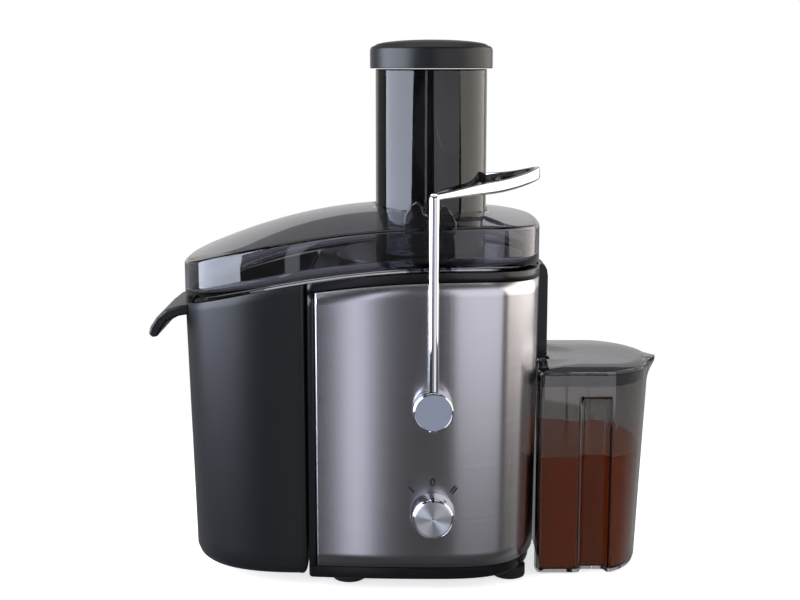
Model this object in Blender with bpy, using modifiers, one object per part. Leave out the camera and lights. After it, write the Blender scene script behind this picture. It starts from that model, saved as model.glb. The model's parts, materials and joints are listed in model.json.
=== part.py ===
"""Centrifugal juicer: a motor base with a juice collector, a spinning strainer
basket, a clear cover with a wide feed chute, a pusher, a locking arm, a pulp
container on the left and a juice jug on the right.

Frame: +X runs from the pulp container to the jug, -Y is the front with the
speed knob, +Z is up and z = 0 is the table top.  The motor, the basket and
the feed chute share one upright axis, and every size below is given from it.
Run with:  blender --background --python part.py
"""
import math

import bmesh
import bpy
from mathutils import Matrix, Vector

MM = 0.001
GAP = 0.3 * MM                      # clearance between neighbouring pieces

# ---- driving dimensions -------------------------------------------------
AXIS_X = 17.5 * MM                  # motor axis, from the middle of the whole footprint

BASE_Z = 9 * MM                     # underside of the base, above the feet
BAND_TOP = 18 * MM                  # top of the black band round the base
HOUSING_LEFT = -88 * MM
HOUSING_RIGHT = 80 * MM
HOUSING_DEPTH = 93 * MM             # half depth at the motor axis
LEFT_DEPTH = 88 * MM                # half depth at the left wall
NOSE_POWER = 3.0                    # superellipse power of the rounded right end
NOSE_DRAFT = 0.037                  # the right end is this much shorter at the table
WALL = 2.5 * MM
PANEL_RECESS = 1.1 * MM
PANEL_SHEET = 0.8 * MM
PANEL_LEFT = -82 * MM
PANEL_NOSE_DEPTH = 44 * MM          # the panels stop here on the right end

RIM_TOP = 230 * MM                  # crown of the long arc that the cover sits on
RIM_CROWN_X = 20 * MM
RIM_RADIUS = 676 * MM
RIM_BAND = 7 * MM                   # height of the collector's rim

COVER_RIGHT = 79.5 * MM
COVER_DEPTH = 88 * MM
COVER_WALL = 30.5 * MM              # height of the cover's side wall
COVER_EDGE = 3 * MM                 # rounding between side wall and dome
DOME_RISE = 11 * MM

CHUTE_OUTER = 41 * MM
CHUTE_TOP = 367.3 * MM

BIN_RIGHT = -89 * MM
BIN_LEFT = -182.4 * MM
BIN_DEPTH = 87 * MM
BIN_POWER = 2.6
BIN_BOTTOM = 9.5 * MM
BIN_DRAFT = 0.053
BIN_HANDLE_HALF = 42 * MM

JUG_LEFT = 80.6 * MM
JUG_RIGHT = 164.6 * MM
JUG_SPOUT = 171 * MM
JUG_DEPTH = 58 * MM
JUG_BOTTOM = 0.5 * MM
JUG_TOP = 149.7 * MM
LID_TOP = 153 * MM

PIVOT_Z = 134.4 * MM
ARM_DEPTH = 102 * MM                # the arm's rods run this far from the middle
ARM_BEND_Z = 282 * MM
ROD_RADIUS = 3.6 * MM
HUB_RADIUS = 14.1 * MM

KNOB_Z = 57.8 * MM

FEET = {"front_left": (-60, -64), "front_right": (57, -58),
        "rear_left": (-60, 64), "rear_right": (57, 58)}

SHAFT_RADIUS = 4 * MM
BORE = SHAFT_RADIUS + GAP
BOWL_INNER = 72 * MM

# ---- scene helpers ------------------------------------------------------
for old in list(bpy.data.objects):
    bpy.data.objects.remove(old, do_unlink=True)

PARTS = bpy.data.collections.new("centrifugal_juicer")
CUTTERS = bpy.data.collections.new("cutters")
bpy.context.scene.collection.children.link(PARTS)
bpy.context.scene.collection.children.link(CUTTERS)


def material(name, colour, roughness, metallic=0.0):
    """A Principled material; colour is linear RGB."""
    made = bpy.data.materials.new(name)
    made.use_nodes = True
    shader = made.node_tree.nodes["Principled BSDF"]
    shader.inputs["Base Color"].default_value = (*colour, 1.0)
    shader.inputs["Roughness"].default_value = roughness
    shader.inputs["Metallic"].default_value = metallic
    return made


BLACK = material("black_abs", (0.012, 0.012, 0.014), 0.35)
BIN_BLACK = material("textured_black_pp", (0.02, 0.021, 0.023), 0.55)
SMOKED = material("smoked_clear_plastic", (0.05, 0.05, 0.06), 0.08)
STEEL = material("brushed_stainless_steel", (0.55, 0.54, 0.53), 0.32, 1.0)
CHROME = material("chrome_plate", (0.75, 0.75, 0.77), 0.08, 1.0)
ALUMINIUM = material("spun_aluminium", (0.65, 0.65, 0.66), 0.3, 1.0)
RUBBER = material("black_rubber", (0.01, 0.01, 0.01), 0.8)
IRON = material("silicon_steel_laminations", (0.16, 0.16, 0.17), 0.5, 1.0)
COPPER = material("enamelled_copper", (0.45, 0.14, 0.05), 0.35, 1.0)
ZINC = material("zinc_plated_steel", (0.45, 0.45, 0.43), 0.4, 1.0)
CARBON = material("carbon_graphite", (0.03, 0.03, 0.03), 0.6)
PINION = material("glass_filled_nylon", (0.3, 0.29, 0.26), 0.5)

AXIS = bpy.data.objects.new("motor_axis", None)
AXIS.location = (AXIS_X, 0, 0)
PARTS.objects.link(AXIS)


def joint_empty(name, place):
    """An empty on a joint's axis; place is measured from the motor axis."""
    empty = bpy.data.objects.new(name, None)
    empty.location = place
    empty.parent = AXIS
    PARTS.objects.link(empty)
    return empty


def ride(empty, *pieces):
    """Parent pieces to a joint's empty and leave them where they are."""
    for piece in pieces:
        piece.parent = empty
        piece.matrix_parent_inverse = Matrix.Translation(-empty.location)


def part(name, mesh, finish, smooth=40):
    """A sub-part of the juicer, one closed solid."""
    made = bpy.data.objects.new(name, mesh)
    mesh.materials.append(finish)
    mesh.shade_smooth()
    mesh.set_sharp_from_angle(angle=math.radians(smooth))
    made.parent = AXIS
    PARTS.objects.link(made)
    return made


def as_tool(made):
    """Turn a part into a cutter that is neither built nor rendered."""
    PARTS.objects.unlink(made)
    CUTTERS.objects.link(made)
    made.hide_render = True
    made.display_type = "WIRE"
    return made


def boolean(target, tool, operation):
    step = target.modifiers.new(tool.name, "BOOLEAN")
    step.operation = operation
    step.solver = "EXACT"
    step.object = tool


def cut(target, *tools):
    for tool in tools:
        boolean(target, tool, "DIFFERENCE")


def join(target, *tools):
    for tool in tools:
        boolean(target, tool, "UNION")


def bevel(made, width, segments=2, angle=50):
    step = made.modifiers.new("edges", "BEVEL")
    step.width = width
    step.segments = segments
    step.limit_method = "ANGLE"
    step.angle_limit = math.radians(angle)


def mesh_from(name, build):
    """A mesh whose bmesh is filled in by build(bm)."""
    bm = bmesh.new()
    build(bm)
    bmesh.ops.recalc_face_normals(bm, faces=bm.faces)
    mesh = bpy.data.meshes.new(name)
    bm.to_mesh(mesh)
    bm.free()
    return mesh


def box(name, low, high, finish):
    """A box between two corners, in millimetres."""
    low = Vector(low) * MM
    high = Vector(high) * MM

    def build(bm):
        placed = Matrix.Translation((low + high) / 2) @ Matrix.Diagonal((*(high - low), 1))
        bmesh.ops.create_cube(bm, size=1.0, matrix=placed)
    return part(name, mesh_from(name, build), finish)


def cylinder(name, radius, start, end, finish, sides=24, end_radius=None):
    """A round bar or cone between two points."""
    start = Vector(start)
    end = Vector(end)
    turn = (end - start).to_track_quat("Z", "Y").to_matrix().to_4x4()

    def build(bm):
        bmesh.ops.create_cone(
            bm, cap_ends=True, segments=sides, radius1=radius,
            radius2=radius if end_radius is None else end_radius,
            depth=(end - start).length, matrix=Matrix.Translation((start + end) / 2) @ turn)
    return part(name, mesh_from(name, build), finish)


def turned(name, profile, finish, steps=32, place=(0, 0, 0), tilt=0.0):
    """A profile of (radius, height) points in millimetres, turned about Z.

    The profile is closed: either all round, or through the axis where its
    first and last points have no radius.  tilt turns the piece about X, so
    that +90 degrees points its height at the front.
    """
    points = [Vector((r * MM, 0, z * MM)) for r, z in profile]
    loops = profile[0][0] > 0
    area = sum(a.x * b.z - b.x * a.z for a, b in zip(points, points[1:] + points[:1]))
    if area > 0:
        points.reverse()
    mesh = bpy.data.meshes.new(name)
    edges = [(i, i + 1) for i in range(len(points) - 1)]
    if loops:
        edges.append((len(points) - 1, 0))
    mesh.from_pydata(points, edges, [])
    made = bpy.data.objects.new(name, mesh)
    mesh.materials.append(finish)
    made.location = place
    made.rotation_euler = (math.radians(tilt), 0, 0)
    made.parent = AXIS
    PARTS.objects.link(made)
    screw = made.modifiers.new("turn", "SCREW")
    screw.axis = "Z"
    screw.steps = steps
    screw.render_steps = steps
    screw.use_merge_vertices = True
    screw.merge_threshold = 0.00001
    screw.use_smooth_shade = True
    return made


def loft(name, rings, finish, ring_shaped=False, smooth=40):
    """Skin rings that have the same number of points.

    The first and last rings are capped, or joined to each other where the
    piece is open all the way through (ring_shaped).
    """
    def build(bm):
        rows = [[bm.verts.new(point) for point in ring] for ring in rings]
        pairs = list(zip(rows, rows[1:]))
        if ring_shaped:
            pairs.append((rows[-1], rows[0]))
        for lower, upper in pairs:
            for i in range(len(lower)):
                j = (i + 1) % len(lower)
                bm.faces.new((lower[i], lower[j], upper[j], upper[i]))
        if not ring_shaped:
            bm.faces.new(rows[0])
            bm.faces.new(list(reversed(rows[-1])))
    return part(name, mesh_from(name, build), finish, smooth)


def prism(name, outline, near, far, finish, smooth=40):
    """An outline of (x, z) points in millimetres, extruded along Y."""
    rings = [[Vector((x * MM, y, z * MM)) for x, z in outline] for y in (near, far)]
    return loft(name, rings, finish, smooth=smooth)


# ---- outlines -----------------------------------------------------------
def rim(x):
    """Height of the long arc on which the cover meets the parts below it."""
    drop = RIM_RADIUS - math.sqrt(RIM_RADIUS ** 2 - (x - RIM_CROWN_X) ** 2)
    return RIM_TOP - drop


def quarter(half_width, half_depth, power, steps):
    """Points of a superellipse quarter, from (0, depth) round to (width, 0)."""
    points = []
    for i in range(steps + 1):
        turn = math.pi / 2 * i / steps
        x = half_width * math.sin(turn) ** (2 / power)
        y = half_depth * math.cos(turn) ** (2 / power) if i < steps else 0.0
        points.append((x, y))
    return points


def both_sides(front):
    """Close a front half outline, left to right, with its mirror image."""
    rear = [(x, -y) for x, y in reversed(front) if abs(y) > 1e-9]
    return front + rear


def housing_front(draft=1.0):
    """Front half of the housing's plan, from the left wall to the nose."""
    left = []
    for i in range(8):
        x = HOUSING_LEFT * (1 - i / 8)
        left.append((x, -HOUSING_DEPTH + (HOUSING_DEPTH - LEFT_DEPTH) * (x / HOUSING_LEFT) ** 2))
        if i == 0:
            x = PANEL_LEFT
            y = -HOUSING_DEPTH + (HOUSING_DEPTH - LEFT_DEPTH) * (x / HOUSING_LEFT) ** 2
            left += [(x - 0.01 * MM, y), (x, y)]
    nose = [(x * draft, -y) for x, y in quarter(HOUSING_RIGHT, HOUSING_DEPTH, NOSE_POWER, 16)]
    return left + nose


def moved_in(outline, depth):
    """Move a closed anticlockwise outline inwards, by one depth or one a point."""
    count = len(outline)
    depths = depth if isinstance(depth, list) else [depth] * count
    moved = []
    for i, (x, y) in enumerate(outline):
        before = Vector(outline[i - 1])
        after = Vector(outline[(i + 1) % count])
        here = Vector((x, y))
        first = (here - before).normalized()
        second = (after - here).normalized()
        inward = Vector((-first.y - second.y, first.x + second.x)).normalized()
        stretch = max(0.5, inward.dot(Vector((-first.y, first.x))))
        moved.append((x + inward.x * depths[i] / stretch, y + inward.y * depths[i] / stretch))
    return moved


def nose_draft(z):
    """The right end narrows from the rim down to the table."""
    return 1 - NOSE_DRAFT * (RIM_TOP - z) / RIM_TOP


def at_height(outline, z):
    return [Vector((x, y, z)) for x, y in outline]


def below_rim(outline, drop):
    return [Vector((x, y, rim(x) - drop)) for x, y in outline]


def panel_depths(outline):
    """Recess the housing behind the steel panels and nowhere else."""
    return [PANEL_RECESS if x > PANEL_LEFT - 0.005 * MM and abs(y) > PANEL_NOSE_DEPTH else 0.0
            for x, y in outline]


def bin_plan(draft=1.0):
    """Plan of the pulp container: a straight right wall and a bowed left one."""
    width = (BIN_RIGHT - BIN_LEFT) * draft
    bow = quarter(width, BIN_DEPTH * (0.5 + draft / 2), BIN_POWER, 12)
    front = [(BIN_RIGHT - x, -y) for x, y in reversed(bow)]
    return both_sides(front)


def cover_plan():
    """Plan of the cover: the container's bow, then the housing's nose."""
    bow = quarter(BIN_RIGHT - BIN_LEFT, BIN_DEPTH, BIN_POWER, 12)
    front = [(BIN_RIGHT - x, -y) for x, y in reversed(bow)]
    for i in range(1, 4):
        share = i / 4
        front.append((BIN_RIGHT * (1 - share), -BIN_DEPTH + (BIN_DEPTH - COVER_DEPTH) * share))
    front += [(x, -y) for x, y in quarter(COVER_RIGHT, COVER_DEPTH, NOSE_POWER, 14)]
    return front


# ---- housing and base ---------------------------------------------------
def make_housing():
    low_plan = both_sides(housing_front(nose_draft(BAND_TOP)))
    top_plan = both_sides(housing_front(1.0))
    low_outer = moved_in(low_plan, panel_depths(low_plan))
    top_outer = moved_in(top_plan, panel_depths(top_plan))
    low_inner = moved_in(low_plan, PANEL_RECESS + WALL)
    top_inner = moved_in(top_plan, PANEL_RECESS + WALL)
    low = BAND_TOP + GAP
    drop = RIM_BAND + GAP
    housing = loft("housing", [at_height(low_outer, low), below_rim(top_outer, drop),
                               below_rim(top_inner, drop), at_height(low_inner, low)],
                   BLACK, ring_shaped=True)
    cut(housing, pivot_bore, knob_bore, spout_slot, cord_hole)
    return housing


def make_panel(name, side):
    """A thin steel sheet bent round one side of the housing; side is -1 in front."""
    front = housing_front(1.0)
    low_front = housing_front(nose_draft(BAND_TOP))
    plan = both_sides(front)
    low_plan = both_sides(low_front)
    inner = moved_in(plan, PANEL_SHEET)
    low_inner = moved_in(low_plan, PANEL_SHEET)
    edge = GAP + 0.2 * MM
    rings = []
    for i, (x, y) in enumerate(front):
        if x < PANEL_LEFT or abs(y) <= PANEL_NOSE_DEPTH:
            continue
        shift = edge if not rings else 0.0
        corners = [(low_plan[i], BAND_TOP + GAP), (plan[i], rim(x) - RIM_BAND - edge),
                   (inner[i], rim(x) - RIM_BAND - edge), (low_inner[i], BAND_TOP + GAP)]
        rings.append([Vector((p[0] + shift, -side * p[1], z)) for p, z in corners])
    panel = loft(name, rings, STEEL)
    cut(panel, pivot_bore)
    return panel


def make_base_cover():
    plan = both_sides(housing_front(nose_draft(BASE_Z)))
    floor = moved_in(plan, 1.5 * MM)
    inner = moved_in(plan, WALL)
    base = loft("base_cover", [at_height(floor, BASE_Z), at_height(plan, BASE_Z + 1.5 * MM),
                               at_height(plan, BAND_TOP), at_height(inner, BAND_TOP),
                               at_height(inner, BASE_Z + WALL)], BLACK)
    for row in range(-2, 3):
        slot = box(f"vent_{row + 2}", (-30, row * 11 - 2.5, 5), (30, row * 11 + 2.5, 15), BLACK)
        cut(base, as_tool(slot))
    for x, y in SCREWS:
        hole = cylinder("screw_hole", 2.2 * MM, (x * MM, y * MM, 0), (x * MM, y * MM, 0.02), BLACK, 16)
        cut(base, as_tool(hole))
    return base


SCREWS = ((-72, -36), (62, -36), (-72, 36), (62, 36))

pivot_bore = as_tool(cylinder("pivot_bore", 4.6 * MM, (0, -0.12, PIVOT_Z), (0, 0.12, PIVOT_Z), BLACK))
knob_bore = as_tool(cylinder("knob_bore", 4.2 * MM, (0, -0.12, KNOB_Z), (0, -0.07, KNOB_Z), BLACK))
spout_slot = as_tool(box("spout_slot", (60, -14.6, 169), (95, 14.6, 245), BLACK))
CORD_X = -45 * MM
CORD_Z = 34 * MM
cord_hole = as_tool(cylinder("cord_hole", 8.4 * MM, (CORD_X, 0.07, CORD_Z), (CORD_X, 0.12, CORD_Z), BLACK))

housing = make_housing()
panel_front = make_panel("steel_panel_front", -1)
panel_rear = make_panel("steel_panel_rear", 1)
cut(panel_front, knob_bore)
cut(panel_rear, cord_hole)
base_cover = make_base_cover()

for place, (x, y) in FEET.items():
    turned(f"foot_{place}", [(0, 8.7), (7, 8.7), (8.5, 4.2), (12, 2.2), (12, 0), (0, 0)],
           RUBBER, steps=20, place=(x * MM, y * MM, 0))
for number, (x, y) in enumerate(SCREWS, 1):
    turned(f"base_screw_{number}",
           [(0, 30), (1.4, 28), (1.8, 26), (1.8, 8.7), (3.6, 8.7), (3.2, 6.8), (0, 6.4)],
           ZINC, steps=12, place=(x * MM, y * MM, 0))
turned("cord_inlet", [(4.2, 97), (10.6, 97), (10.6, 93.6), (8, 93.6), (8, 85), (4.2, 85)],
       RUBBER, steps=20, place=(CORD_X, 0, CORD_Z), tilt=-90)

# ---- motor --------------------------------------------------------------
deck_plan = moved_in(both_sides(housing_front(nose_draft(0.15))), PANEL_RECESS + WALL + 0.6 * MM)
deck = loft("motor_deck", [at_height(deck_plan, 0.150), at_height(deck_plan, 0.153)], BLACK)
cut(deck, as_tool(cylinder("deck_hole", 14 * MM, (0, 0, 0.14), (0, 0, 0.16), BLACK)))
turned("shaft_seal", [(BORE / MM, 155), (13.7, 155), (13.7, 150), (BORE / MM, 150)], RUBBER, 24)

stator = box("stator_core", (-44, -39, 76), (44, 39, 114), IRON)
bevel(stator, 9 * MM, 2)
cut(stator, as_tool(cylinder("stator_bore", 23 * MM, (0, 0, 0.07), (0, 0, 0.12), IRON, 32)))
for side_x in (-1, 1):
    for side_y in (-1, 1):
        low = (min(side_x * 22.7, side_x * 33.7), min(side_y * 21.7, side_y * 32.7), 70)
        high = (max(side_x * 22.7, side_x * 33.7), max(side_y * 21.7, side_y * 32.7), 120)
        cut(stator, as_tool(box("coil_window", low, high, IRON)))


def make_field_coil(name, side):
    """A wound loop that passes down through two windows of the stator."""
    curve = bpy.data.curves.new(name, "CURVE")
    curve.dimensions = "3D"
    curve.bevel_depth = 4.9 * MM
    curve.bevel_resolution = 2
    path = []
    reach_y, low, high, corner = 27.2, 69, 121, 7
    for centre_y, centre_z, start in ((reach_y - corner, high - corner, 0), (corner - reach_y, high - corner, 90),
                                      (corner - reach_y, low + corner, 180), (reach_y - corner, low + corner, 270)):
        for step in range(4):
            turn = math.radians(start + step * 30)
            path.append((side * 28.2, centre_y + corner * math.cos(turn), centre_z + corner * math.sin(turn)))
    spline = curve.splines.new("POLY")
    spline.points.add(len(path) - 1)
    for point, place in zip(spline.points, path):
        point.co = (*(Vector(place) * MM), 1)
    spline.use_cyclic_u = True
    loop = bpy.data.objects.new(name, curve)
    curve.materials.append(COPPER)
    loop.parent = AXIS
    PARTS.objects.link(loop)
    return loop


make_field_coil("field_coil_left", -1)
make_field_coil("field_coil_right", 1)


def make_bracket(name, low, leg_from, leg_to, bearing_z):
    """A steel strap across the motor that carries one bearing."""
    bracket = box(name, (-43, -18, low), (43, 18, low + 4), ZINC)
    for side in (-1, 1):
        edges = sorted((side * 37, side * 43))
        leg = box(f"{name}_leg", (edges[0], -12, leg_from), (edges[1], 12, leg_to), ZINC)
        join(bracket, as_tool(leg))
    seat = cylinder(f"{name}_seat", 11.3 * MM, (0, 0, bearing_z - 0.01), (0, 0, bearing_z + 0.02), ZINC)
    cut(bracket, as_tool(seat))
    return bracket


make_bracket("upper_motor_bracket", 128, 114.3, 129, 0.128)
make_bracket("lower_motor_bracket", 36, 39, 75.7, 0.036)
for place, low in (("upper", 126.5), ("lower", 35)):
    turned(f"{place}_bearing", [(BORE / MM, low + 7), (11, low + 7), (11, low), (BORE / MM, low)], ZINC, 24)
for number, (x, y) in enumerate(((-34, -12), (34, -12), (-34, 12), (34, 12)), 1):
    turned(f"motor_mount_{number}", [(0, 149.7), (6, 149.7), (4.5, 141), (6, 132.3), (0, 132.3)],
           RUBBER, 16, place=(x * MM, y * MM, 0))
for name, side in (("left", -1), ("right", 1)):
    far, near = sorted((side * 36, side * 16))
    holder = box(f"brush_holder_{name}", (far, -6, 47.5), (near, 6, 60.5), BLACK)
    edges = sorted((side * 15, side * 23))
    cut(holder, as_tool(box(f"brush_slot_{name}", (edges[0], -3.8, 49.7), (edges[1], 3.8, 58.3), BLACK)))
    edges = sorted((side * 12.4, side * 22))
    box(f"carbon_brush_{name}", (edges[0], -3.5, 50), (edges[1], 3.5, 58), CARBON)

# ---- rotor: everything that spins ---------------------------------------
rotor = joint_empty("rotor_axis", (0, 0, 0.1))
shaft = turned("motor_shaft", [(0, 190), (4, 190), (4, 18), (0, 18)], ZINC, 20)
armature = turned("armature_core", [(BORE / MM, 122), (14, 122), (17, 119), (17.5, 114), (22.2, 114), (22.2, 76),
                                    (17.5, 76), (17, 71), (14, 66), (BORE / MM, 66)], IRON, 24)
commutator = turned("commutator", [(BORE / MM, 62), (12, 62), (12, 47), (BORE / MM, 47)], COPPER, 24)
fan = turned("cooling_fan", [(BORE / MM, 32.5), (38, 32.5), (38, 31), (9, 30), (9, 21), (BORE / MM, 21)], BLACK, 32)
for number in range(4):
    for side in (-1, 1):
        edges = sorted((side * 7, side * 36))
        blade = as_tool(box(f"fan_blade_{number}{side + 1}", (edges[0], -0.9, 21.5), (edges[1], 0.9, 31.5), BLACK))
        blade.rotation_euler = (0, 0, math.radians(45 * number))
        join(fan, blade)
coupling = turned("drive_coupling", [(BORE / MM, 195.5), (10.5, 195.5), (10.5, 172), (11.5, 170), (11.5, 158),
                                     (BORE / MM, 158)], PINION, 16)
basket = turned("strainer_basket", [(0, 200), (16, 200), (19.5, 197), (19.5, 190), (48.6, 190), (67.2, 228),
                                    (68.5, 232), (70.5, 232), (70.5, 229), (69, 226), (50, 188), (18, 188),
                                    (18, 183), (15.2, 183), (15.2, 197), (0, 197)], STEEL, 32)
grater = turned("grater_disc", [(20.2, 191.5), (46, 191.5), (46, 190.3), (20.2, 190.3)], STEEL, 32)
ride(rotor, shaft, armature, commutator, fan, coupling, basket, grater)


# ---- juice collector: rim, bowl and spout --------------------------------
def make_collector():
    ribs = []
    for x, y in housing_front(1.0):
        half = max(abs(y), 1 * MM)
        low = rim(x) - RIM_BAND
        high = rim(x) - GAP
        ribs.append([Vector((x, side * half, z)) for side, z in ((-1, low), (-1, high), (1, high), (1, low))])
    collector = loft("juice_collector", ribs, BLACK)
    bowl = turned("bowl_wall", [(14.5, 190), (14.5, 182), (71.8, 176), (71.8, 219), (74.5, 219), (74.5, 173.5),
                                (12, 179.5), (12, 190)], BLACK, 32)
    hole = cylinder("bowl_mouth", BOWL_INNER, (0, 0, 0.20), (0, 0, 0.25), BLACK, 36)
    head = box("spout_head", (72.8, -14, 172), (87, 14, 225), BLACK)
    bevel(head, 2.5 * MM, 2)
    chute = box("spout_duct", (80.5, -14, 153.6), (87, 14, 180), BLACK)
    bore = box("spout_bore", (81.5, -11.5, 150), (86.2, 11.5, 195), BLACK)
    window = box("spout_window", (66, -9, 177.5), (83.5, 9, 192), BLACK)
    cut(collector, as_tool(hole))
    join(collector, as_tool(bowl), as_tool(head), as_tool(chute))
    cut(collector, as_tool(bore), as_tool(window))
    return collector


make_collector()


# ---- cover with feed chute and the arm's lugs -----------------------------
def dome_rise(x):
    """The dome is high over the basket and runs out flat at both ends."""
    if x < 0:
        return DOME_RISE * max(0.0, 1 - ((x + 60 * MM) / (118 * MM)) ** 2)
    return DOME_RISE * 0.74 * max(0.0, 1 - x / COVER_RIGHT)


def make_cover():
    plan = cover_plan()
    closed = both_sides(plan)
    shoulder = moved_in(closed, COVER_EDGE * 0.3)
    crown = moved_in(closed, COVER_EDGE)
    rings = [below_rim(closed, 0),
             below_rim(closed, COVER_EDGE - COVER_WALL),
             below_rim(shoulder, COVER_EDGE * 0.3 - COVER_WALL)]
    for share in (1.0, 0.7, 0.35, 0.0):
        rings.append([Vector((x, y * share, rim(x) + COVER_WALL + dome_rise(x) * (1 - share ** 2)))
                      for x, y in crown])

    def build(bm):
        rows = [[bm.verts.new(point) for point in ring] for ring in rings]
        for lower, upper in zip(rows, rows[1:]):
            for i in range(len(lower)):
                j = (i + 1) % len(lower)
                bm.faces.new((lower[i], lower[j], upper[j], upper[i]))
        bmesh.ops.remove_doubles(bm, verts=bm.verts, dist=0.01 * MM)
    cover = part("cover", mesh_from("cover", build), SMOKED)
    shell = cover.modifiers.new("wall", "SOLIDIFY")
    shell.thickness = WALL
    shell.offset = -1
    throat = cylinder("chute_throat", CHUTE_OUTER + GAP, (0, 0, 0.2), (0, 0, 0.3), SMOKED, 36)
    cut(cover, as_tool(throat))
    lug = [(-20, 255), (-20, 268), (-16, 275), (-11, 277.7), (-8, 275), (-7, 269.5), (-3, 267.5), (1, 269.5),
           (5, 275), (10, 273), (13.4, 268.6), (15.5, 264), (15.5, 255)]
    for name, near, far in (("lug_front", -0.0915, -0.080), ("lug_rear", 0.080, 0.0915)):
        join(cover, as_tool(prism(name, lug, near, far, SMOKED)))
    return cover


cover = make_cover()
chute = turned("feed_chute", [(38.5, 367.3), (41, 367.3), (41, 196), (38.5, 196)], SMOKED, 36)
cover_joint = joint_empty("cover_slide", (0, 0, RIM_TOP))
ride(cover_joint, cover, chute)

pusher_joint = joint_empty("pusher_slide", (0, 0, CHUTE_TOP))
pusher = turned("pusher_body", [(0, 212.5), (35.2, 212.5), (35.2, 367.3), (37.6, 367.3), (37.6, 212),
                                (35.6, 210), (0, 210)], BLACK, 32)
cap = turned("pusher_cap", [(0, 388.6), (20, 387.9), (34, 386), (42, 383.6), (44.6, 381.6), (45, 379),
                            (45, 367.6), (42.5, 367.6), (42.5, 370), (0, 370)], BLACK, 36)
ride(pusher_joint, pusher, cap)


# ---- pulp container -------------------------------------------------------
def make_pulp_container():
    low = bin_plan(1 - BIN_DRAFT)
    top = bin_plan(1.0)
    rim_ring = below_rim(top, 2 * GAP)
    rim_inner = [Vector((x, y, outer.z)) for (x, y), outer in zip(moved_in(top, WALL), rim_ring)]
    floor = BIN_BOTTOM + WALL
    body = loft("pulp_container", [at_height(moved_in(low, 4 * MM), BIN_BOTTOM),
                                   at_height(low, BIN_BOTTOM + 5 * MM), rim_ring, rim_inner,
                                   at_height(moved_in(low, WALL), floor + 5 * MM),
                                   at_height(moved_in(low, WALL + 3 * MM), floor)], BIN_BLACK)
    handle = [(-172, 199), (-184, 197.6), (-193, 194.6), (-200, 189), (-205, 182), (-206, 177),
              (-203.5, 174.5), (-199.5, 175), (-197, 180), (-192.5, 186), (-184, 190), (-172, 191.5)]
    tongue = prism("bin_handle", handle, -BIN_HANDLE_HALF, BIN_HANDLE_HALF, BIN_BLACK)
    cavity = WALL + 0.3 * MM
    inside = loft("bin_inside", [at_height(moved_in(low, cavity), floor + 6 * MM),
                                 at_height(moved_in(top, cavity), 0.24)], BIN_BLACK)
    join(body, as_tool(tongue))
    cut(body, as_tool(inside))
    return body


bin_joint = joint_empty("bin_slide", (BIN_RIGHT, 0, BIN_BOTTOM))
ride(bin_joint, make_pulp_container())


# ---- juice jug and lid ----------------------------------------------------
def jug_plan(z, spout=0.0):
    """Plan of the jug: a hollow left side that follows the housing, a flat
    panel, a finger groove and a rounded right end, narrower at the table."""
    front = []
    for i in range(6):
        y = -i * 10 * MM
        front.append((JUG_LEFT * (1 - (abs(y) / (95 * MM)) ** 3) ** (1 / 3), y))
    front += [(78.5 * MM, -56 * MM), (83 * MM, -JUG_DEPTH), (107 * MM, -JUG_DEPTH), (110 * MM, -50.5 * MM),
              (129 * MM, -50.5 * MM), (132 * MM, -57 * MM), (146 * MM, -53 * MM), (155.5 * MM, -44 * MM),
              (161.5 * MM, -30 * MM), (164 * MM, -14 * MM), (JUG_RIGHT, -8 * MM),
              (JUG_RIGHT + spout * (JUG_SPOUT - JUG_RIGHT), 0.0)]
    taper = 7.6 * MM * (1 - z / LID_TOP)
    shaped = [(x - taper * max(0.0, (x - 0.11) / 0.055), y) for x, y in front]
    rear = [(x, -y) for x, y in reversed(shaped[1:-1])]
    return shaped + rear


def jug_rings(inset, low, high):
    middle = 0.128
    return [at_height(moved_in(jug_plan(low), inset), low), at_height(moved_in(jug_plan(middle), inset), middle),
            at_height(moved_in(jug_plan(high, 1.0), inset), high)]


def make_jug():
    outer = jug_rings(0.0, JUG_BOTTOM, JUG_TOP)
    inner = jug_rings(2 * MM, JUG_BOTTOM + 3 * MM, JUG_TOP)
    return loft("jug", outer + inner[::-1], SMOKED)


def make_lid():
    top = jug_plan(LID_TOP, 1.0)
    under = JUG_TOP + GAP
    skirt = moved_in(jug_plan(0.13), 2.8 * MM)
    inside = moved_in(jug_plan(0.13), 4.4 * MM)
    lid = loft("jug_lid", [at_height(top, LID_TOP), at_height(top, under), at_height(skirt, under),
                           at_height(skirt, 0.141), at_height(inside, 0.141),
                           at_height(inside, LID_TOP - 1.8 * MM)], SMOKED)
    cut(lid, as_tool(box("lid_notch", (70, -16, 135), (89, 16, 160), SMOKED)))
    return lid


jug_joint = joint_empty("jug_slide", (JUG_LEFT, 0, 0))
lid_joint = joint_empty("jug_lid_lift", (JUG_LEFT, 0, JUG_TOP))
ride(jug_joint, make_jug())
ride(lid_joint, make_lid())

# ---- locking arm ----------------------------------------------------------
arm_joint = joint_empty("arm_pivot", (0, 0, PIVOT_Z))


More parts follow.
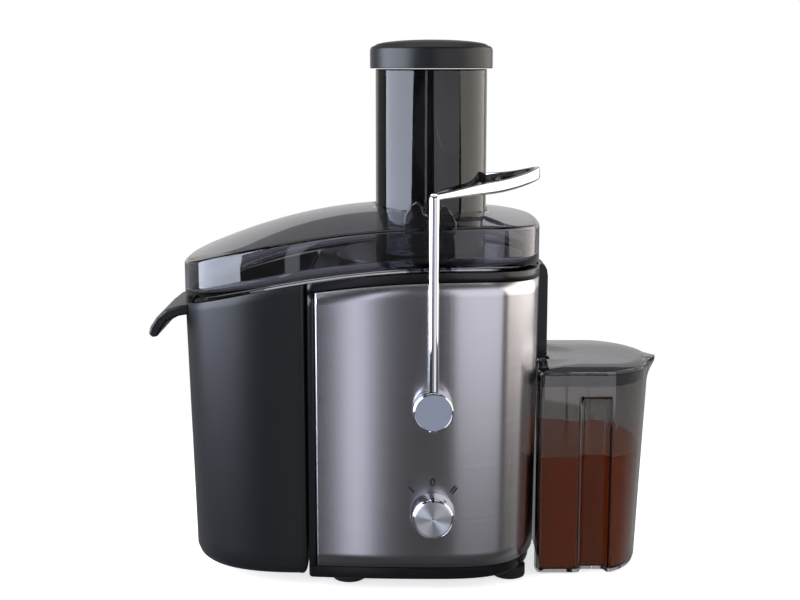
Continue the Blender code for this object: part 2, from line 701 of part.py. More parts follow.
def make_arm_handle():
    """The flat bar that joins the two rods and wraps round the feed chute."""
    stops = [(0, -102), (18, -76), (40, -47), (62, -25.5), (75.5, -11.5), (79.5, 0)]
    stops += [(x, -y) for x, y in reversed(stops[:-1])]
    stops = [Vector(stop) * MM for stop in stops]
    ends = [2 * stops[0] - stops[1]] + stops + [2 * stops[-1] - stops[-2]]
    path = []
    for i in range(1, len(ends) - 2):
        for step in range(3):
            t = step / 3
            a, b, c, d = ends[i - 1:i + 3]
            path.append(0.5 * (2 * b + (c - a) * t + (2 * a - 5 * b + 4 * c - d) * t * t
                               + (3 * b - a - 3 * c + d) * t ** 3))
    path.append(stops[-1])
    rings = []
    for i, here in enumerate(path):
        along = (path[min(i + 1, len(path) - 1)] - path[max(i - 1, 0)]).normalized()
        out = Vector((along.y, -along.x))
        rise = 1.5 * MM * here.x / 0.04 + 6.5 * MM * max(0.0, (here.x - 0.04) / 0.04) ** 2
        middle = ARM_BEND_Z + rise
        half = 3 * MM + 1.5 * MM * min(1.0, here.x / 0.05)
        corners = ((-1.4, -1), (1.4, -1), (1.4, 1), (-1.4, 1))
        rings.append([Vector((here.x + out.x * u * MM, here.y + out.y * u * MM, middle + v * half))
                      for u, v in corners])
    return loft("arm_handle", rings, CHROME)


arm_pieces = [make_arm_handle()]
for place, side, tilt in (("front", -1, 90), ("rear", 1, -90)):
    turned(f"pivot_base_{place}", [(4.6, 98.7), (14, 98.7), (14, 93.4), (4.6, 93.4)], CHROME, 24,
           place=(0, 0, PIVOT_Z), tilt=tilt)
    hub = turned(f"pivot_hub_{place}", [(0, 107), (13.2, 107), (14.1, 106.2), (14.1, 99), (0, 99)], ALUMINIUM, 28,
                 place=(0, 0, PIVOT_Z), tilt=tilt)
    pin = turned(f"pivot_pin_{place}", [(0, 98.7), (4, 98.7), (4, 84), (5.5, 84), (5.5, 80), (0, 80)], ZINC, 12,
                 place=(0, 0, PIVOT_Z), tilt=tilt)
    rod = cylinder(f"arm_rod_{place}", ROD_RADIUS, (0, side * ARM_DEPTH, PIVOT_Z + HUB_RADIUS + GAP),
                   (0, side * ARM_DEPTH, ARM_BEND_Z - 3 * MM - GAP), CHROME, 20)
    arm_pieces += [hub, pin, rod]
ride(arm_joint, *arm_pieces)

# ---- speed knob and the parts behind the front panel -----------------------
knob_joint = joint_empty("knob_axis", (0, 0, KNOB_Z))
knob = turned("speed_knob", [(3.4, 106.2), (13.7, 106.2), (14.6, 104.5), (15.85, 95.5), (15.85, 93.6), (3.4, 93.6)],
              CHROME, 28, place=(0, 0, KNOB_Z), tilt=90)
face = turned("knob_face", [(0, 107), (12.8, 107), (13.1, 106.5), (0, 106.5)], ALUMINIUM, 28,
              place=(0, 0, KNOB_Z), tilt=90)
stem = turned("switch_shaft", [(0, 106), (3, 106), (3, 76), (0, 76)], ZINC, 16, place=(0, 0, KNOB_Z), tilt=90)
ride(knob_joint, knob, face, stem)

switch = box("rotary_switch", (-14, -88.6, 44), (14, -68, 72), BLACK)
cut(switch, as_tool(cylinder("switch_bore", 3.4 * MM, (0, -0.1, KNOB_Z), (0, -0.074, KNOB_Z), BLACK, 16)))
interlock = box("interlock_switch", (9, -85, 128), (30, -77, 141), BLACK)
cut(interlock, as_tool(cylinder("plunger_bore", 1.7 * MM, (5 * MM, -0.082, PIVOT_Z), (13 * MM, -0.082, PIVOT_Z),
                                BLACK, 16)))
plunger_joint = joint_empty("plunger_slide", (6 * MM, -0.082, PIVOT_Z))
ride(plunger_joint, cylinder("interlock_plunger", 1.3 * MM, (6 * MM, -0.082, PIVOT_Z),
                             (11 * MM, -0.082, PIVOT_Z), ZINC, 12))
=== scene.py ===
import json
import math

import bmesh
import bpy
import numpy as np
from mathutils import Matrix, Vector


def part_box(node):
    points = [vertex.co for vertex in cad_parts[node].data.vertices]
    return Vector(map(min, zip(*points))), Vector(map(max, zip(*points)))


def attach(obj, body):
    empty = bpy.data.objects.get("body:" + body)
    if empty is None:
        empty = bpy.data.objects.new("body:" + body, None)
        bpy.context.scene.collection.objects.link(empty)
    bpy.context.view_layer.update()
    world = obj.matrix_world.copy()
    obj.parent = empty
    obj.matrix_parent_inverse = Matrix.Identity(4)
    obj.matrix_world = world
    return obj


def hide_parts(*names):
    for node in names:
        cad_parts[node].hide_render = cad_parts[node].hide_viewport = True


bl_info = {
    "name": "Centrifugal juicer",
    "version": (1, 0, 0),
    "blender": (4, 5, 0),
    "location": "View3D > Sidebar > Juicer",
    "description": "Builds the visible surfaces, finishes and studio of a centrifugal juicer",
    "category": "Add Mesh",
}

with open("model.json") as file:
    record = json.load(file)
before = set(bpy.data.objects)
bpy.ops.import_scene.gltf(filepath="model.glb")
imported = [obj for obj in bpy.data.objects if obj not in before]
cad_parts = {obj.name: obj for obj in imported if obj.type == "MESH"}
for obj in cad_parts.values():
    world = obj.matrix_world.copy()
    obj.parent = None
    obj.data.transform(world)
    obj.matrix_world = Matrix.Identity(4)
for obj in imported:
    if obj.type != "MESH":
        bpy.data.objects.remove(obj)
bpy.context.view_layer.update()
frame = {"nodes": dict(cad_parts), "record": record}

MM = 0.001

# ---- places from the frame, and the shapes' sizes that it doesn't give -------
SHAFT_LOW, SHAFT_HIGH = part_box("motor_shaft")
AXIS_X = (SHAFT_LOW.x + SHAFT_HIGH.x) / 2        # every shape below is given from this axis
BASE_LOW, BASE_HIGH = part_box("base_cover")
HUB_LOW, HUB_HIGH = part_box("pivot_hub_front")
KNOB_LOW, KNOB_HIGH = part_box("speed_knob")
BIN_LOW, BIN_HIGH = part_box("pulp_container")
JUG_LOW, JUG_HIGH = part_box("jug")
LID_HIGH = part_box("jug_lid")[1]
COVER_LOW, COVER_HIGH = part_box("cover")
ROD_LOW, ROD_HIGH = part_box("arm_rod_front")

PIVOT_Z = (HUB_LOW.z + HUB_HIGH.z) / 2
KNOB_Z = (KNOB_LOW.z + KNOB_HIGH.z) / 2
HOUSING_LEFT = BASE_LOW.x - AXIS_X
HOUSING_DEPTH = -BASE_LOW.y
LEFT_DEPTH = HOUSING_DEPTH - 5 * MM
HOUSING_RIGHT = 80 * MM
BASE_Z = BASE_LOW.z
BAND_TOP = BASE_HIGH.z
RIM_TOP = 230 * MM                      # crown of the long arc under the cover
RIM_CROWN_X = 20 * MM
RIM_RADIUS = 676 * MM
RIM_BAND = 7 * MM                       # width of the black rim along the arc
GAP = 0.3 * MM                          # between pieces that come apart
ARM_DEPTH = -(ROD_LOW.y + ROD_HIGH.y) / 2
BIN_RIGHT = -89 * MM
BIN_LEFT = COVER_LOW.x - AXIS_X
COVER_RIGHT = COVER_HIGH.x - AXIS_X
COVER_DEPTH = 88 * MM
BIN_DEPTH = BIN_HIGH.y
THROAT = 41.4 * MM                      # radius of the cover's opening round the chute
WALL_TOP = 235 * MM                     # below this the cover is wall and has no opening
GROOVE_TOP = 133.5 * MM
GROOVE_FROM, GROOVE_POINTS = 42, 90     # where the groove stands in the jug's plan
JUG_WALL = 2.0 * MM
NOSE_DRAFT, BIN_DRAFT = 0.037, 0.053    # share by which the plans narrow down to the table
NOSE_POWER, BIN_POWER = 3.0, 2.6        # superellipse powers of the nose and the bowed end


# ---- outlines and meshes ---------------------------------------------------
def rim(x):
    """Height of the long arc under the cover: a circle of RIM_RADIUS about the Y direction."""
    x = np.asarray(x, float)
    return RIM_TOP - RIM_RADIUS + np.sqrt(RIM_RADIUS ** 2 - (x - RIM_CROWN_X) ** 2)


def even(points, count):
    """Resample an open line to points at equal steps of its length."""
    points = np.asarray(points, float)
    steps = np.linalg.norm(np.diff(points, axis=0), axis=1)
    length = np.concatenate(([0.0], np.cumsum(steps)))
    wanted = np.linspace(0.0, length[-1], count)
    return np.stack([np.interp(wanted, length, points[:, i]) for i in range(points.shape[1])], 1)


def rounded(points, radii, steps=6):
    """Replace each inner corner of a line by an arc that is tangent to both
    of its sides; the arc leaves each side radius x tan(half the turn) early."""
    points = np.asarray(points, float)
    radii = np.broadcast_to(radii, len(points))
    parts = [points[:1]]
    for before, here, after, radius in zip(points, points[1:], points[2:], radii[1:]):
        back = (before - here) / np.linalg.norm(before - here)
        ahead = (after - here) / np.linalg.norm(after - here)
        half = math.acos(max(-1.0, min(1.0, float(back @ ahead)))) / 2
        if radius <= 0 or half > 1.55:
            parts.append(here[None])
            continue
        bisector = (back + ahead) / np.linalg.norm(back + ahead)
        centre = here + bisector * radius / math.sin(half)
        start = here + back * radius / math.tan(half) - centre
        end = here + ahead * radius / math.tan(half) - centre
        share = np.linspace(0, 1, steps)[:, None]
        turn = math.pi - 2 * half
        arc = (np.sin((1 - share) * turn) * start + np.sin(share * turn) * end) / math.sin(turn)
        parts.append(centre + arc)
    parts.append(points[-1:])
    return np.concatenate(parts)


def quarter(width, depth, power, count=60):
    """Superellipse quarter |x/width|^power + |y/depth|^power = 1, from (0, -depth) to (width, 0)."""
    turn = np.linspace(0, math.pi / 2, count)
    x = width * np.sin(turn) ** (2 / power)
    y = -depth * np.abs(np.cos(turn)) ** (2 / power)
    y[-1] = 0.0
    return np.stack((x, y), 1)


def mirrored(front):
    """Close a front half line with its mirror image in Y."""
    rear = front[::-1] * (1, -1)
    rear = rear[np.abs(rear[:, 1]) > 1e-9]
    return np.concatenate((front, rear))


def inset(plan, depth):
    """Move a closed anticlockwise line inwards along its normals."""
    along = np.roll(plan, -1, 0) - np.roll(plan, 1, 0)
    along /= np.linalg.norm(along, axis=1)[:, None]
    inward = np.stack((-along[:, 1], along[:, 0]), 1)
    return plan + inward * np.broadcast_to(np.asarray(depth, float), len(plan))[:, None]


def at(plan, z):
    """Lift a plan to a height, or to one height for each point."""
    heights = np.broadcast_to(np.asarray(z, float), len(plan))
    return np.column_stack((plan, heights))


FINISHES = {}       # materials under short names, which make_finishes fills in


def linked(name, data):
    """A new object in the scene."""
    made = bpy.data.objects.new(name, data)
    bpy.context.scene.collection.objects.link(made)
    return made


def finished(name, points, faces, finish, sharp=38.0, uv=None):
    """A new object from points measured from the motor axis; finish is a key of FINISHES."""
    points = np.asarray(points, float).reshape(-1, 3) + (AXIS_X, 0, 0)
    mesh = bpy.data.meshes.new(name)
    mesh.from_pydata(points.tolist(), [], [list(face) for face in faces])
    if uv is not None:
        layer = mesh.uv_layers.new(name="polar")
        corners = np.zeros(len(mesh.loops), np.int32)
        mesh.loops.foreach_get("vertex_index", corners)
        layer.data.foreach_set("uv", np.asarray(uv, float)[corners].ravel())
    bm = bmesh.new()
    bm.from_mesh(mesh)
    bmesh.ops.remove_doubles(bm, verts=bm.verts, dist=1e-6)
    bmesh.ops.recalc_face_normals(bm, faces=bm.faces)
    bm.to_mesh(mesh)
    bm.free()
    mesh.materials.append(FINISHES[finish])
    mesh.shade_smooth()
    mesh.set_sharp_from_angle(angle=math.radians(sharp))
    return linked(name, mesh)


def quads(rows, around, wrap=True):
    """Corner numbers of the quads between neighbouring rows of a grid."""
    row = np.arange(rows - 1)[:, None] * around
    first = np.arange(around if wrap else around - 1)[None, :]
    second = (first + 1) % around
    grid = np.stack((row + first, row + second, row + around + second, row + around + first), -1)
    return grid.reshape(-1, 4).tolist()


def skin(name, rings, finish, ends="caps", sharp=38.0):
    """Join closed rings in turn with quads.

    ends is 'caps' for flat end faces, 'open' for none, or 'loop' where the
    last ring joins the first.
    """
    rings = np.asarray(rings, float)
    count, around = rings.shape[:2]
    faces = quads(count, around)
    if ends == "caps":
        faces += [list(range(around))[::-1], list(range((count - 1) * around, count * around))]
    if ends == "loop":
        last = (count - 1) * around
        faces += [[last + i, last + (i + 1) % around, (i + 1) % around, i] for i in range(around)]
    return finished(name, rings, faces, finish, sharp)


def turned(name, profile, finish, centre=(0, 0, 0), front=0, ends="open", around=144, sharp=38.0):
    """Turn a (radius, height) line, in mm, about an upright axis, or about the Y
    direction where front is -1 (height points to the front) or +1."""
    profile = np.asarray(profile, float) * MM
    turn = np.linspace(0, 2 * math.pi, around, endpoint=False)
    radius = profile[:, 0][:, None]
    height = np.broadcast_to(profile[:, 1][:, None], (len(profile), around))
    across, up = radius * np.cos(turn), radius * np.sin(turn)
    rings = np.stack((across, up, height), -1) if front == 0 else np.stack((across, front * height, up), -1)
    return skin(name, rings + np.asarray(centre, float), finish, ends, sharp)


def carried(name, outline, stations, finish):
    """Carry an (x, z) outline along Y through its stations."""
    return skin(name, [np.insert(outline, 1, y * MM, axis=1) for y in stations], finish)


def tube(name, path, sections, finish, ends="caps", sharp=38.0):
    """Carry flat sections along a path.

    path is (n, 3); sections is (n, m, 2), in the plane across the path, as
    (sideways, upwards) offsets.  Sideways is level, at right angles to the path.
    """
    along = np.gradient(path, axis=0)
    along /= np.linalg.norm(along, axis=1)[:, None]
    sideways = np.cross(along, (0.0, 0.0, 1.0))
    size = np.linalg.norm(sideways, axis=1)
    sideways[size < 1e-6] = (0.0, 1.0, 0.0)
    sideways /= np.maximum(np.linalg.norm(sideways, axis=1), 1e-9)[:, None]
    upwards = np.cross(sideways, along)
    rings = path[:, None] + sideways[:, None] * sections[..., :1] + upwards[:, None] * sections[..., 1:]
    return skin(name, rings, finish, ends, sharp)


def block(name, low, high, finish, radius=1.0 * MM):
    """A box with rounded upright edges and rounded top and bottom edges."""
    low, high = np.asarray(low, float), np.asarray(high, float)
    corners = np.array([(low[0], low[1]), (high[0], low[1]), (high[0], high[1]), (low[0], high[1])])
    start = (corners[0] + corners[1]) / 2
    loop = np.vstack((start, corners[1:], corners[:1], start))
    plan = rounded(loop, radius, 6)[:-1]
    turn = np.linspace(0, math.pi / 2, 5)
    levels = [(low[2] + radius * (1 - math.sin(t)), radius * (1 - math.cos(t))) for t in turn[::-1]]
    levels += [(high[2] - radius * (1 - math.sin(t)), radius * (1 - math.cos(t))) for t in turn]
    return skin(name, [at(inset(plan, depth), z) for z, depth in levels], finish)


# ---- plans -----------------------------------------------------------------
def draft_at(z):
    """The nose's width at a height, as a share of its width at the rim's crown."""
    return 1 - NOSE_DRAFT * (RIM_TOP - z) / RIM_TOP


def housing_plan(z, count=150):
    """Front half of the housing's plan: the left wall, a rounded corner, a
    slightly bowed side and a superellipse nose that narrows towards the table."""
    x = np.linspace(HOUSING_LEFT, 0, 40)
    side = np.stack((x, -HOUSING_DEPTH + (HOUSING_DEPTH - LEFT_DEPTH) * (x / HOUSING_LEFT) ** 2), 1)
    nose = quarter(HOUSING_RIGHT * draft_at(z), HOUSING_DEPTH, NOSE_POWER)[1:]
    corner = rounded([(HOUSING_LEFT, 0), tuple(side[0]), tuple(side[3])], 3 * MM)
    return even(np.concatenate((corner, side[4:], nose)), count)


def bin_plan(draft=1.0, count=130):
    """Front half of the container's plan: a bowed left end and a straight right wall."""
    bow = quarter((BIN_RIGHT - BIN_LEFT) * draft, BIN_DEPTH * (0.5 + draft / 2), BIN_POWER)[::-1]
    front = np.stack((BIN_RIGHT - bow[:, 0], bow[:, 1]), 1)
    corner = rounded([tuple(front[-4]), tuple(front[-1]), (BIN_RIGHT, 0)], 2.5 * MM)
    return even(np.concatenate((front[:-4], corner)), count)


def cover_plan(count=190):
    """Front half of the cover's plan: the container's bow, then the housing's nose."""
    bow = quarter(BIN_RIGHT - BIN_LEFT, BIN_DEPTH, BIN_POWER)[::-1]
    left = np.stack((BIN_RIGHT - bow[:, 0], bow[:, 1]), 1)
    nose = quarter(COVER_RIGHT, COVER_DEPTH, NOSE_POWER)
    line = even(np.concatenate((left, nose)), count)
    smooth = np.convolve(np.pad(line[:, 1], 4, mode="edge"), np.ones(9) / 9, "valid")
    middle = (line[:, 0] > -0.13) & (line[:, 0] < 0.0)
    line[middle, 1] = smooth[middle]
    return line


def eased(share):
    """Smooth step 3s^2 - 2s^3 of a share cut to 0..1."""
    share = np.clip(share, 0, 1)
    return share * share * (3 - 2 * share)


def groove_line(z, depth):
    """The jug's side from x = 100 to 133.5 mm, depth inside its outer face: flat,
    with a finger groove between two eased steps that ends in an arch."""
    arch = np.clip((GROOVE_TOP - z) / (7 * MM), 0, 1)
    deep = 7.0 * MM * math.sqrt(1 - (1 - arch) ** 2)
    x = np.linspace(100 * MM, 133.5 * MM, GROOVE_POINTS)
    side = -58 * MM + 2.0 * MM * np.clip((x - 126 * MM) / (8 * MM), 0, 1) ** 2
    step = eased((x - 108.5 * MM + depth) / (3.6 * MM)) * eased((129.5 * MM + depth - x) / (3.6 * MM))
    return np.stack((x, side + depth + deep * step), 1)


def jug_front(z, spout):
    """Front half of the jug's plan: a hollow left side, a flat panel, a finger
    groove and a round right end with a pouring lip."""
    y = np.linspace(0, -50 * MM, 14)
    left = np.stack((80.6 * MM * (1 - (np.abs(y) / (95 * MM)) ** 3) ** (1 / 3), y), 1)
    corner = rounded([tuple(left[-1]), (77.6 * MM, -58 * MM), (90 * MM, -58 * MM)], 3.5 * MM)
    turn = np.linspace(math.radians(-66), 0, 40)
    round_end = np.stack((112 * MM + 52.6 * MM * np.cos(turn) ** 0.9, 57.5 * MM * np.sin(turn) / 0.95), 1)
    taper = 7.6 * MM * (1 - z / LID_HIGH.z) * np.clip((round_end[:, 0] - 0.134) / 0.031, 0, 1)
    round_end[:, 0] -= taper
    lip = np.clip((12 * MM - np.abs(round_end[:, 1])) / (12 * MM), 0, 1)
    round_end[:, 0] += spout * lip * (JUG_HIGH.x - AXIS_X - 164.6 * MM)
    pieces = [even(left, 24), even(corner[1:], GROOVE_FROM - 24), groove_line(z, 0.0), even(round_end, 60)]
    return np.concatenate(pieces)


def jug_ring(z, depth=0.0, spout=0.0):
    """The jug's whole plan at a height, depth inside its outer face.  The groove
    is worked out again at that depth, because moving its steep steps would fold them."""
    front = jug_front(z, spout)
    line = inset(mirrored(front), depth)
    inner = groove_line(z, depth)
    line[GROOVE_FROM:GROOVE_FROM + GROOVE_POINTS] = inner
    last = 2 * len(front) - 2 - GROOVE_FROM
    line[last - GROOVE_POINTS + 1:last + 1] = inner[::-1] * (1, -1)
    return at(line, z)


def walls(plan, shares, low=BAND_TOP, drop=RIM_BAND, depth=0.0):
    """Rows of a wall that stands on a plan: height runs from low to the arc less
    drop, and the nose is drawn in towards the table."""
    plan = inset(plan, depth) if np.any(depth) else plan
    rows = []
    for share in shares:
        z = low + share * (rim(plan[:, 0]) - drop - low)
        x = np.where(plan[:, 0] > 0, plan[:, 0] * draft_at(z), plan[:, 0])
        rows.append(np.column_stack((x, plan[:, 1], z)))
    return rows


def sheet_of(name, rows, finish, thick, sharp=38.0):
    """An open grid of points given a thickness inwards."""
    rows = np.asarray(rows, float)
    made = finished(name, rows, quads(rows.shape[0], rows.shape[1], False), finish, sharp)
    face = made.data.polygons[len(made.data.polygons) // 2]
    away = Vector(face.center) - Vector((AXIS_X, 0, rows[..., 2].mean()))
    if face.normal.dot(away) < 0:
        made.data.flip_normals()
    return thicken(made, thick)


def thicken(made, thick):
    """Give a surface a wall towards its inside."""
    wall = made.modifiers.new("wall", "SOLIDIFY")
    wall.thickness = thick
    wall.offset = -1
    return made


def soften(made, width, segments=2, angle=40):
    """Round the edges of a piece."""
    step = made.modifiers.new("edges", "BEVEL")
    step.width = width
    step.segments = segments
    step.limit_method = "ANGLE"
    step.angle_limit = math.radians(angle)
    return made


def placed(made, body, slot, *nodes):
    """Let a piece ride on a body and stand for CAD nodes; slot is not used."""
    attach(made, body)
    if nodes:
        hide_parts(*nodes)
    return made


# ---- finishes --------------------------------------------------------------
def linear(code):
    """An sRGB hex colour as linear RGBA."""
    parts = [int(code[i:i + 2], 16) / 255 for i in (1, 3, 5)]
    return [c / 12.92 if c <= 0.04045 else ((c + 0.055) / 1.055) ** 2.4 for c in parts] + [1.0]


def add(tree, kind, values=None, links=None, **settings):
    """Add a node: its settings, the values of its inputs, and links into them."""
    made = tree.nodes.new(kind)
    for key, value in settings.items():
        setattr(made, key, value)
    for key, value in (values or {}).items():
        made.inputs[key].default_value = value
    for key, source in (links or {}).items():
        tree.links.new(source, made.inputs[key])
    return made


def finish_of(name, **values):
    """A material with a Principled shader whose fixed values sit on its sockets."""
    made = bpy.data.materials.new(name)
    made.use_nodes = True
    tree = made.node_tree
    shader = tree.nodes["Principled BSDF"]
    for key, value in values.items():
        shader.inputs[key.replace("_", " ")].default_value = value
    where = add(tree, "ShaderNodeTexCoord")
    return made, tree, shader, where.outputs["Object"]


def grained(tree, shader, where, scale, depth, base, spread, detail=3.0, stretch=(1, 1, 1)):
    """Noise of a given scale (cycles a metre) moves roughness round base and lifts a bump."""
    spot = add(tree, "ShaderNodeMapping", {"Scale": stretch}, {"Vector": where})
    noise = add(tree, "ShaderNodeTexNoise", {"Scale": scale, "Detail": detail},
                {"Vector": spot.outputs["Vector"]})
    rough = add(tree, "ShaderNodeMapRange", {"To Min": base - spread, "To Max": base + spread},
                {"Value": noise.outputs["Fac"]})
    tree.links.new(rough.outputs["Result"], shader.inputs["Roughness"])
    if depth:
        bump = add(tree, "ShaderNodeBump", {"Strength": 0.5, "Distance": depth},
                   {"Height": noise.outputs["Fac"]})
        tree.links.new(bump.outputs["Normal"], shader.inputs["Normal"])
    return noise


def scaled(colour, factor):
    """A colour made lighter or darker, cut at 1."""
    return [min(1, c * factor) for c in colour[:3]] + [1]


def moulded_abs(colour):
    """Injection-moulded black ABS: a satin gloss with the faint ripple of a
    polished tool, 7 mm long."""
    made, tree, shader, where = finish_of("moulded_black_abs", Base_Color=colour, IOR=1.53)
    grained(tree, shader, where, 140, 0.00003, 0.24, 0.03)
    return made


def spark_textured_pp(colour):
    """Polypropylene from a spark-eroded tool: an even matt grain, drawn 0.8 mm
    across so that it shows, which spreads a highlight into a broad soft band."""
    made, tree, shader, where = finish_of("spark_textured_black_polypropylene", Base_Color=colour, IOR=1.49)
    grained(tree, shader, where, 1250, 0.00012, 0.35, 0.05, 2.0)
    return made


def smoked_san(colour, name="smoked_clear_san"):
    """Clear styrene-acrylonitrile with a smoke tint, polished: it darkens what
    is behind it at each wall and mirrors the room at grazing angles, in waves
    of 17 mm where the melt has flowed."""
    made, tree, shader, where = finish_of(name, Base_Color=colour, IOR=1.57, Transmission_Weight=1.0)
    grained(tree, shader, where, 60, 0.00002, 0.03, 0.015)
    return made


def brushed_steel(colour):
    """Stainless sheet brushed along its length: fine level lines, drawn 0.5 mm
    apart, that stretch each reflection upwards and keep its sides sharp."""
    made, tree, shader, where = finish_of("brushed_stainless_steel", Metallic=1.0, Anisotropic=0.75,
                                          Anisotropic_Rotation=0.25)
    lines = grained(tree, shader, where, 9, 0.0, 0.24, 0.04, 4.0, (1, 1, 220))
    tone = add(tree, "ShaderNodeMix", {6: scaled(colour, 0.93), 7: scaled(colour, 1.07)},
               {0: lines.outputs["Fac"]}, data_type="RGBA")
    tree.links.new(tone.outputs[2], shader.inputs["Base Color"])
    round_axis = add(tree, "ShaderNodeTangent", direction_type="RADIAL", axis="Z")
    tree.links.new(round_axis.outputs["Tangent"], shader.inputs["Tangent"])
    return made


def plated_chrome(colour):
    """Bright chrome plate on a polished bar, with the slight orange peel of
    plating, drawn 11 mm across so that it shows."""
    made, tree, shader, where = finish_of("bright_chrome_plate", Base_Color=colour, Metallic=1.0)
    grained(tree, shader, where, 90, 0.00001, 0.05, 0.02)
    return made


def spun_aluminium(colour):
    """Aluminium turned on a lathe: fine circles 0.2 mm apart round the face, drawn
    as a noise of the radius, open the highlight into two bright rays."""
    made, tree, shader, where = finish_of("spun_aluminium", Base_Color=colour, Metallic=1.0, Anisotropic=0.85)
    centre = add(tree, "ShaderNodeUVMap", uv_map="polar")
    spot = add(tree, "ShaderNodeMapping", {"Scale": (60, 1, 1)}, {"Vector": centre.outputs["UV"]})
    noise = add(tree, "ShaderNodeTexNoise", {"Scale": 1.0, "Detail": 3.0}, {"Vector": spot.outputs["Vector"]})
    rough = add(tree, "ShaderNodeMapRange", {"To Min": 0.40, "To Max": 0.52}, {"Value": noise.outputs["Fac"]})
    tree.links.new(rough.outputs["Result"], shader.inputs["Roughness"])
    turn = add(tree, "ShaderNodeTangent", direction_type="UV_MAP", uv_map="polar")
    tree.links.new(turn.outputs["Tangent"], shader.inputs["Tangent"])
    return made


def plain(name, colour, rough, metal=0.0, scale=400.0, depth=0.00005, spread=0.05, stretch=(1, 1, 1)):
    """A hidden or small piece's finish: one colour with grain of its own scale."""
    made, tree, shader, where = finish_of(name, Base_Color=colour, Metallic=metal)
    grained(tree, shader, where, scale, depth, rough, spread, 3.0, stretch)
    return made


def pressed_juice(colour):
    """Carrot and fruit juice: cloudy, so light goes a little way in and comes
    back warm, in clouds 22 mm across."""
    made, tree, shader, where = finish_of("pressed_juice", IOR=1.35, Subsurface_Weight=0.5,
                                          Subsurface_Scale=0.012, Subsurface_Radius=(1.0, 0.35, 0.12))
    cloud = grained(tree, shader, where, 45, 0.0, 0.22, 0.05, 5.0)
    tone = add(tree, "ShaderNodeMix", {6: colour, 7: scaled(colour, 1.25)}, {0: cloud.outputs["Fac"]},
               data_type="RGBA")
    tree.links.new(tone.outputs[2], shader.inputs["Base Color"])
    return made


def make_finishes(colours):
    """Every finish once, from the colours that the panel offers, and one for each CAD node."""
    tint = {key: [*getattr(colours, key), 1.0] for key in JuicerColours.__annotations__}
    FINISHES.update(
        abs=moulded_abs(tint["abs"]), pp=spark_textured_pp(tint["pp"]), smoked=smoked_san(tint["smoke"]),
        jug=smoked_san(tint["jug"], "smoked_clear_san_jug"),
        steel=brushed_steel(tint["steel"]), chrome=plated_chrome(tint["chrome"]),
        aluminium=spun_aluminium(tint["aluminium"]), juice=pressed_juice(tint["juice"]),
        hub=plain("satin_aluminium", tint["hub"], 0.55, 0.75, 900, 0.00001, 0.05),
        rubber=plain("moulded_black_rubber", linear("#101010"), 0.78, 0, 900, 0.0001),
        iron=plain("stacked_silicon_steel", linear("#5c5c5e"), 0.5, 0.9, 12, 0.0002, 0.08, (1, 1, 160)),
        copper=plain("enamelled_copper_wire", linear("#9a4a20"), 0.32, 0.8, 1100, 0.0003),
        zinc=plain("zinc_plated_steel", linear("#a9aaa6"), 0.36, 1.0, 700, 0.00003),
        carbon=plain("pressed_carbon", linear("#26262a"), 0.62, 0, 1500, 0.0001),
        nylon=plain("glass_filled_nylon", linear("#9b968a"), 0.5, 0, 1200, 0.0001),
        mesh=punched_mesh(), print=plain("printed_black_ink", linear("#1a1a1b"), 0.5, 0, 300, 0))
    by_slot = {"black_abs": "abs", "textured_pp": "pp", "smoked_plastic": "smoked", "stainless": "steel",
               "chrome": "chrome", "aluminium": "hub", "rubber": "rubber", "laminations": "iron",
               "copper": "copper", "zinc_steel": "zinc", "carbon": "carbon", "nylon": "nylon"}
    for row in frame["record"]["subparts"]:
        node = frame["nodes"][row["node"]]
        chosen = FINISHES[by_slot[row["material_slot"]]]
        for place in node.material_slots:
            place.material = chosen
    frame["nodes"]["grater_disc"].material_slots[0].material = FINISHES["mesh"]


def punched_mesh():
    """Stainless strainer: holes 0.6 mm wide on the real wall, drawn 1.6 mm apart as dark pits."""
    made, tree, shader, where = finish_of("punched_stainless_mesh", Metallic=1.0, Roughness=0.3)
    holes = add(tree, "ShaderNodeTexVoronoi", {"Scale": 620.0, "Randomness": 0.15}, {"Vector": where})
    edge = add(tree, "ShaderNodeMapRange", {"From Min": 0.22, "From Max": 0.34},
               {"Value": holes.outputs["Distance"]})
    tone = add(tree, "ShaderNodeMix", {6: linear("#1b1b1c"), 7: linear("#b9b7b4")},
               {0: edge.outputs["Result"]}, data_type="RGBA")
    tree.links.new(tone.outputs[2], shader.inputs["Base Color"])
    bump = add(tree, "ShaderNodeBump", {"Strength": 0.6, "Distance": 0.0003},
               {"Height": edge.outputs["Result"]})
    tree.links.new(bump.outputs["Normal"], shader.inputs["Normal"])
    return made


# ---- housing ---------------------------------------------------------------
def make_band():
    """The black band round the foot: rounded rings of the housing's plan, with a floor."""
    plan = mirrored(housing_plan(BASE_Z))
    plan[:, 0] = np.where(plan[:, 0] > 0, plan[:, 0] * draft_at(BAND_TOP), plan[:, 0])
    turn = np.linspace(0, math.pi / 2, 5)
    edge = 1.6 * MM
    rings = [at(inset(plan, 0.02 * MM + edge * (1 - math.sin(t))), BASE_Z + edge * (1 - math.cos(t)))
             for t in turn]
    rings += [at(inset(plan, 0.02 * MM), BAND_TOP - 0.4 * MM), at(inset(plan, 0.8 * MM), BAND_TOP)]
    placed(skin("base_band", rings, "abs"), "base", "black_abs", "base_cover")


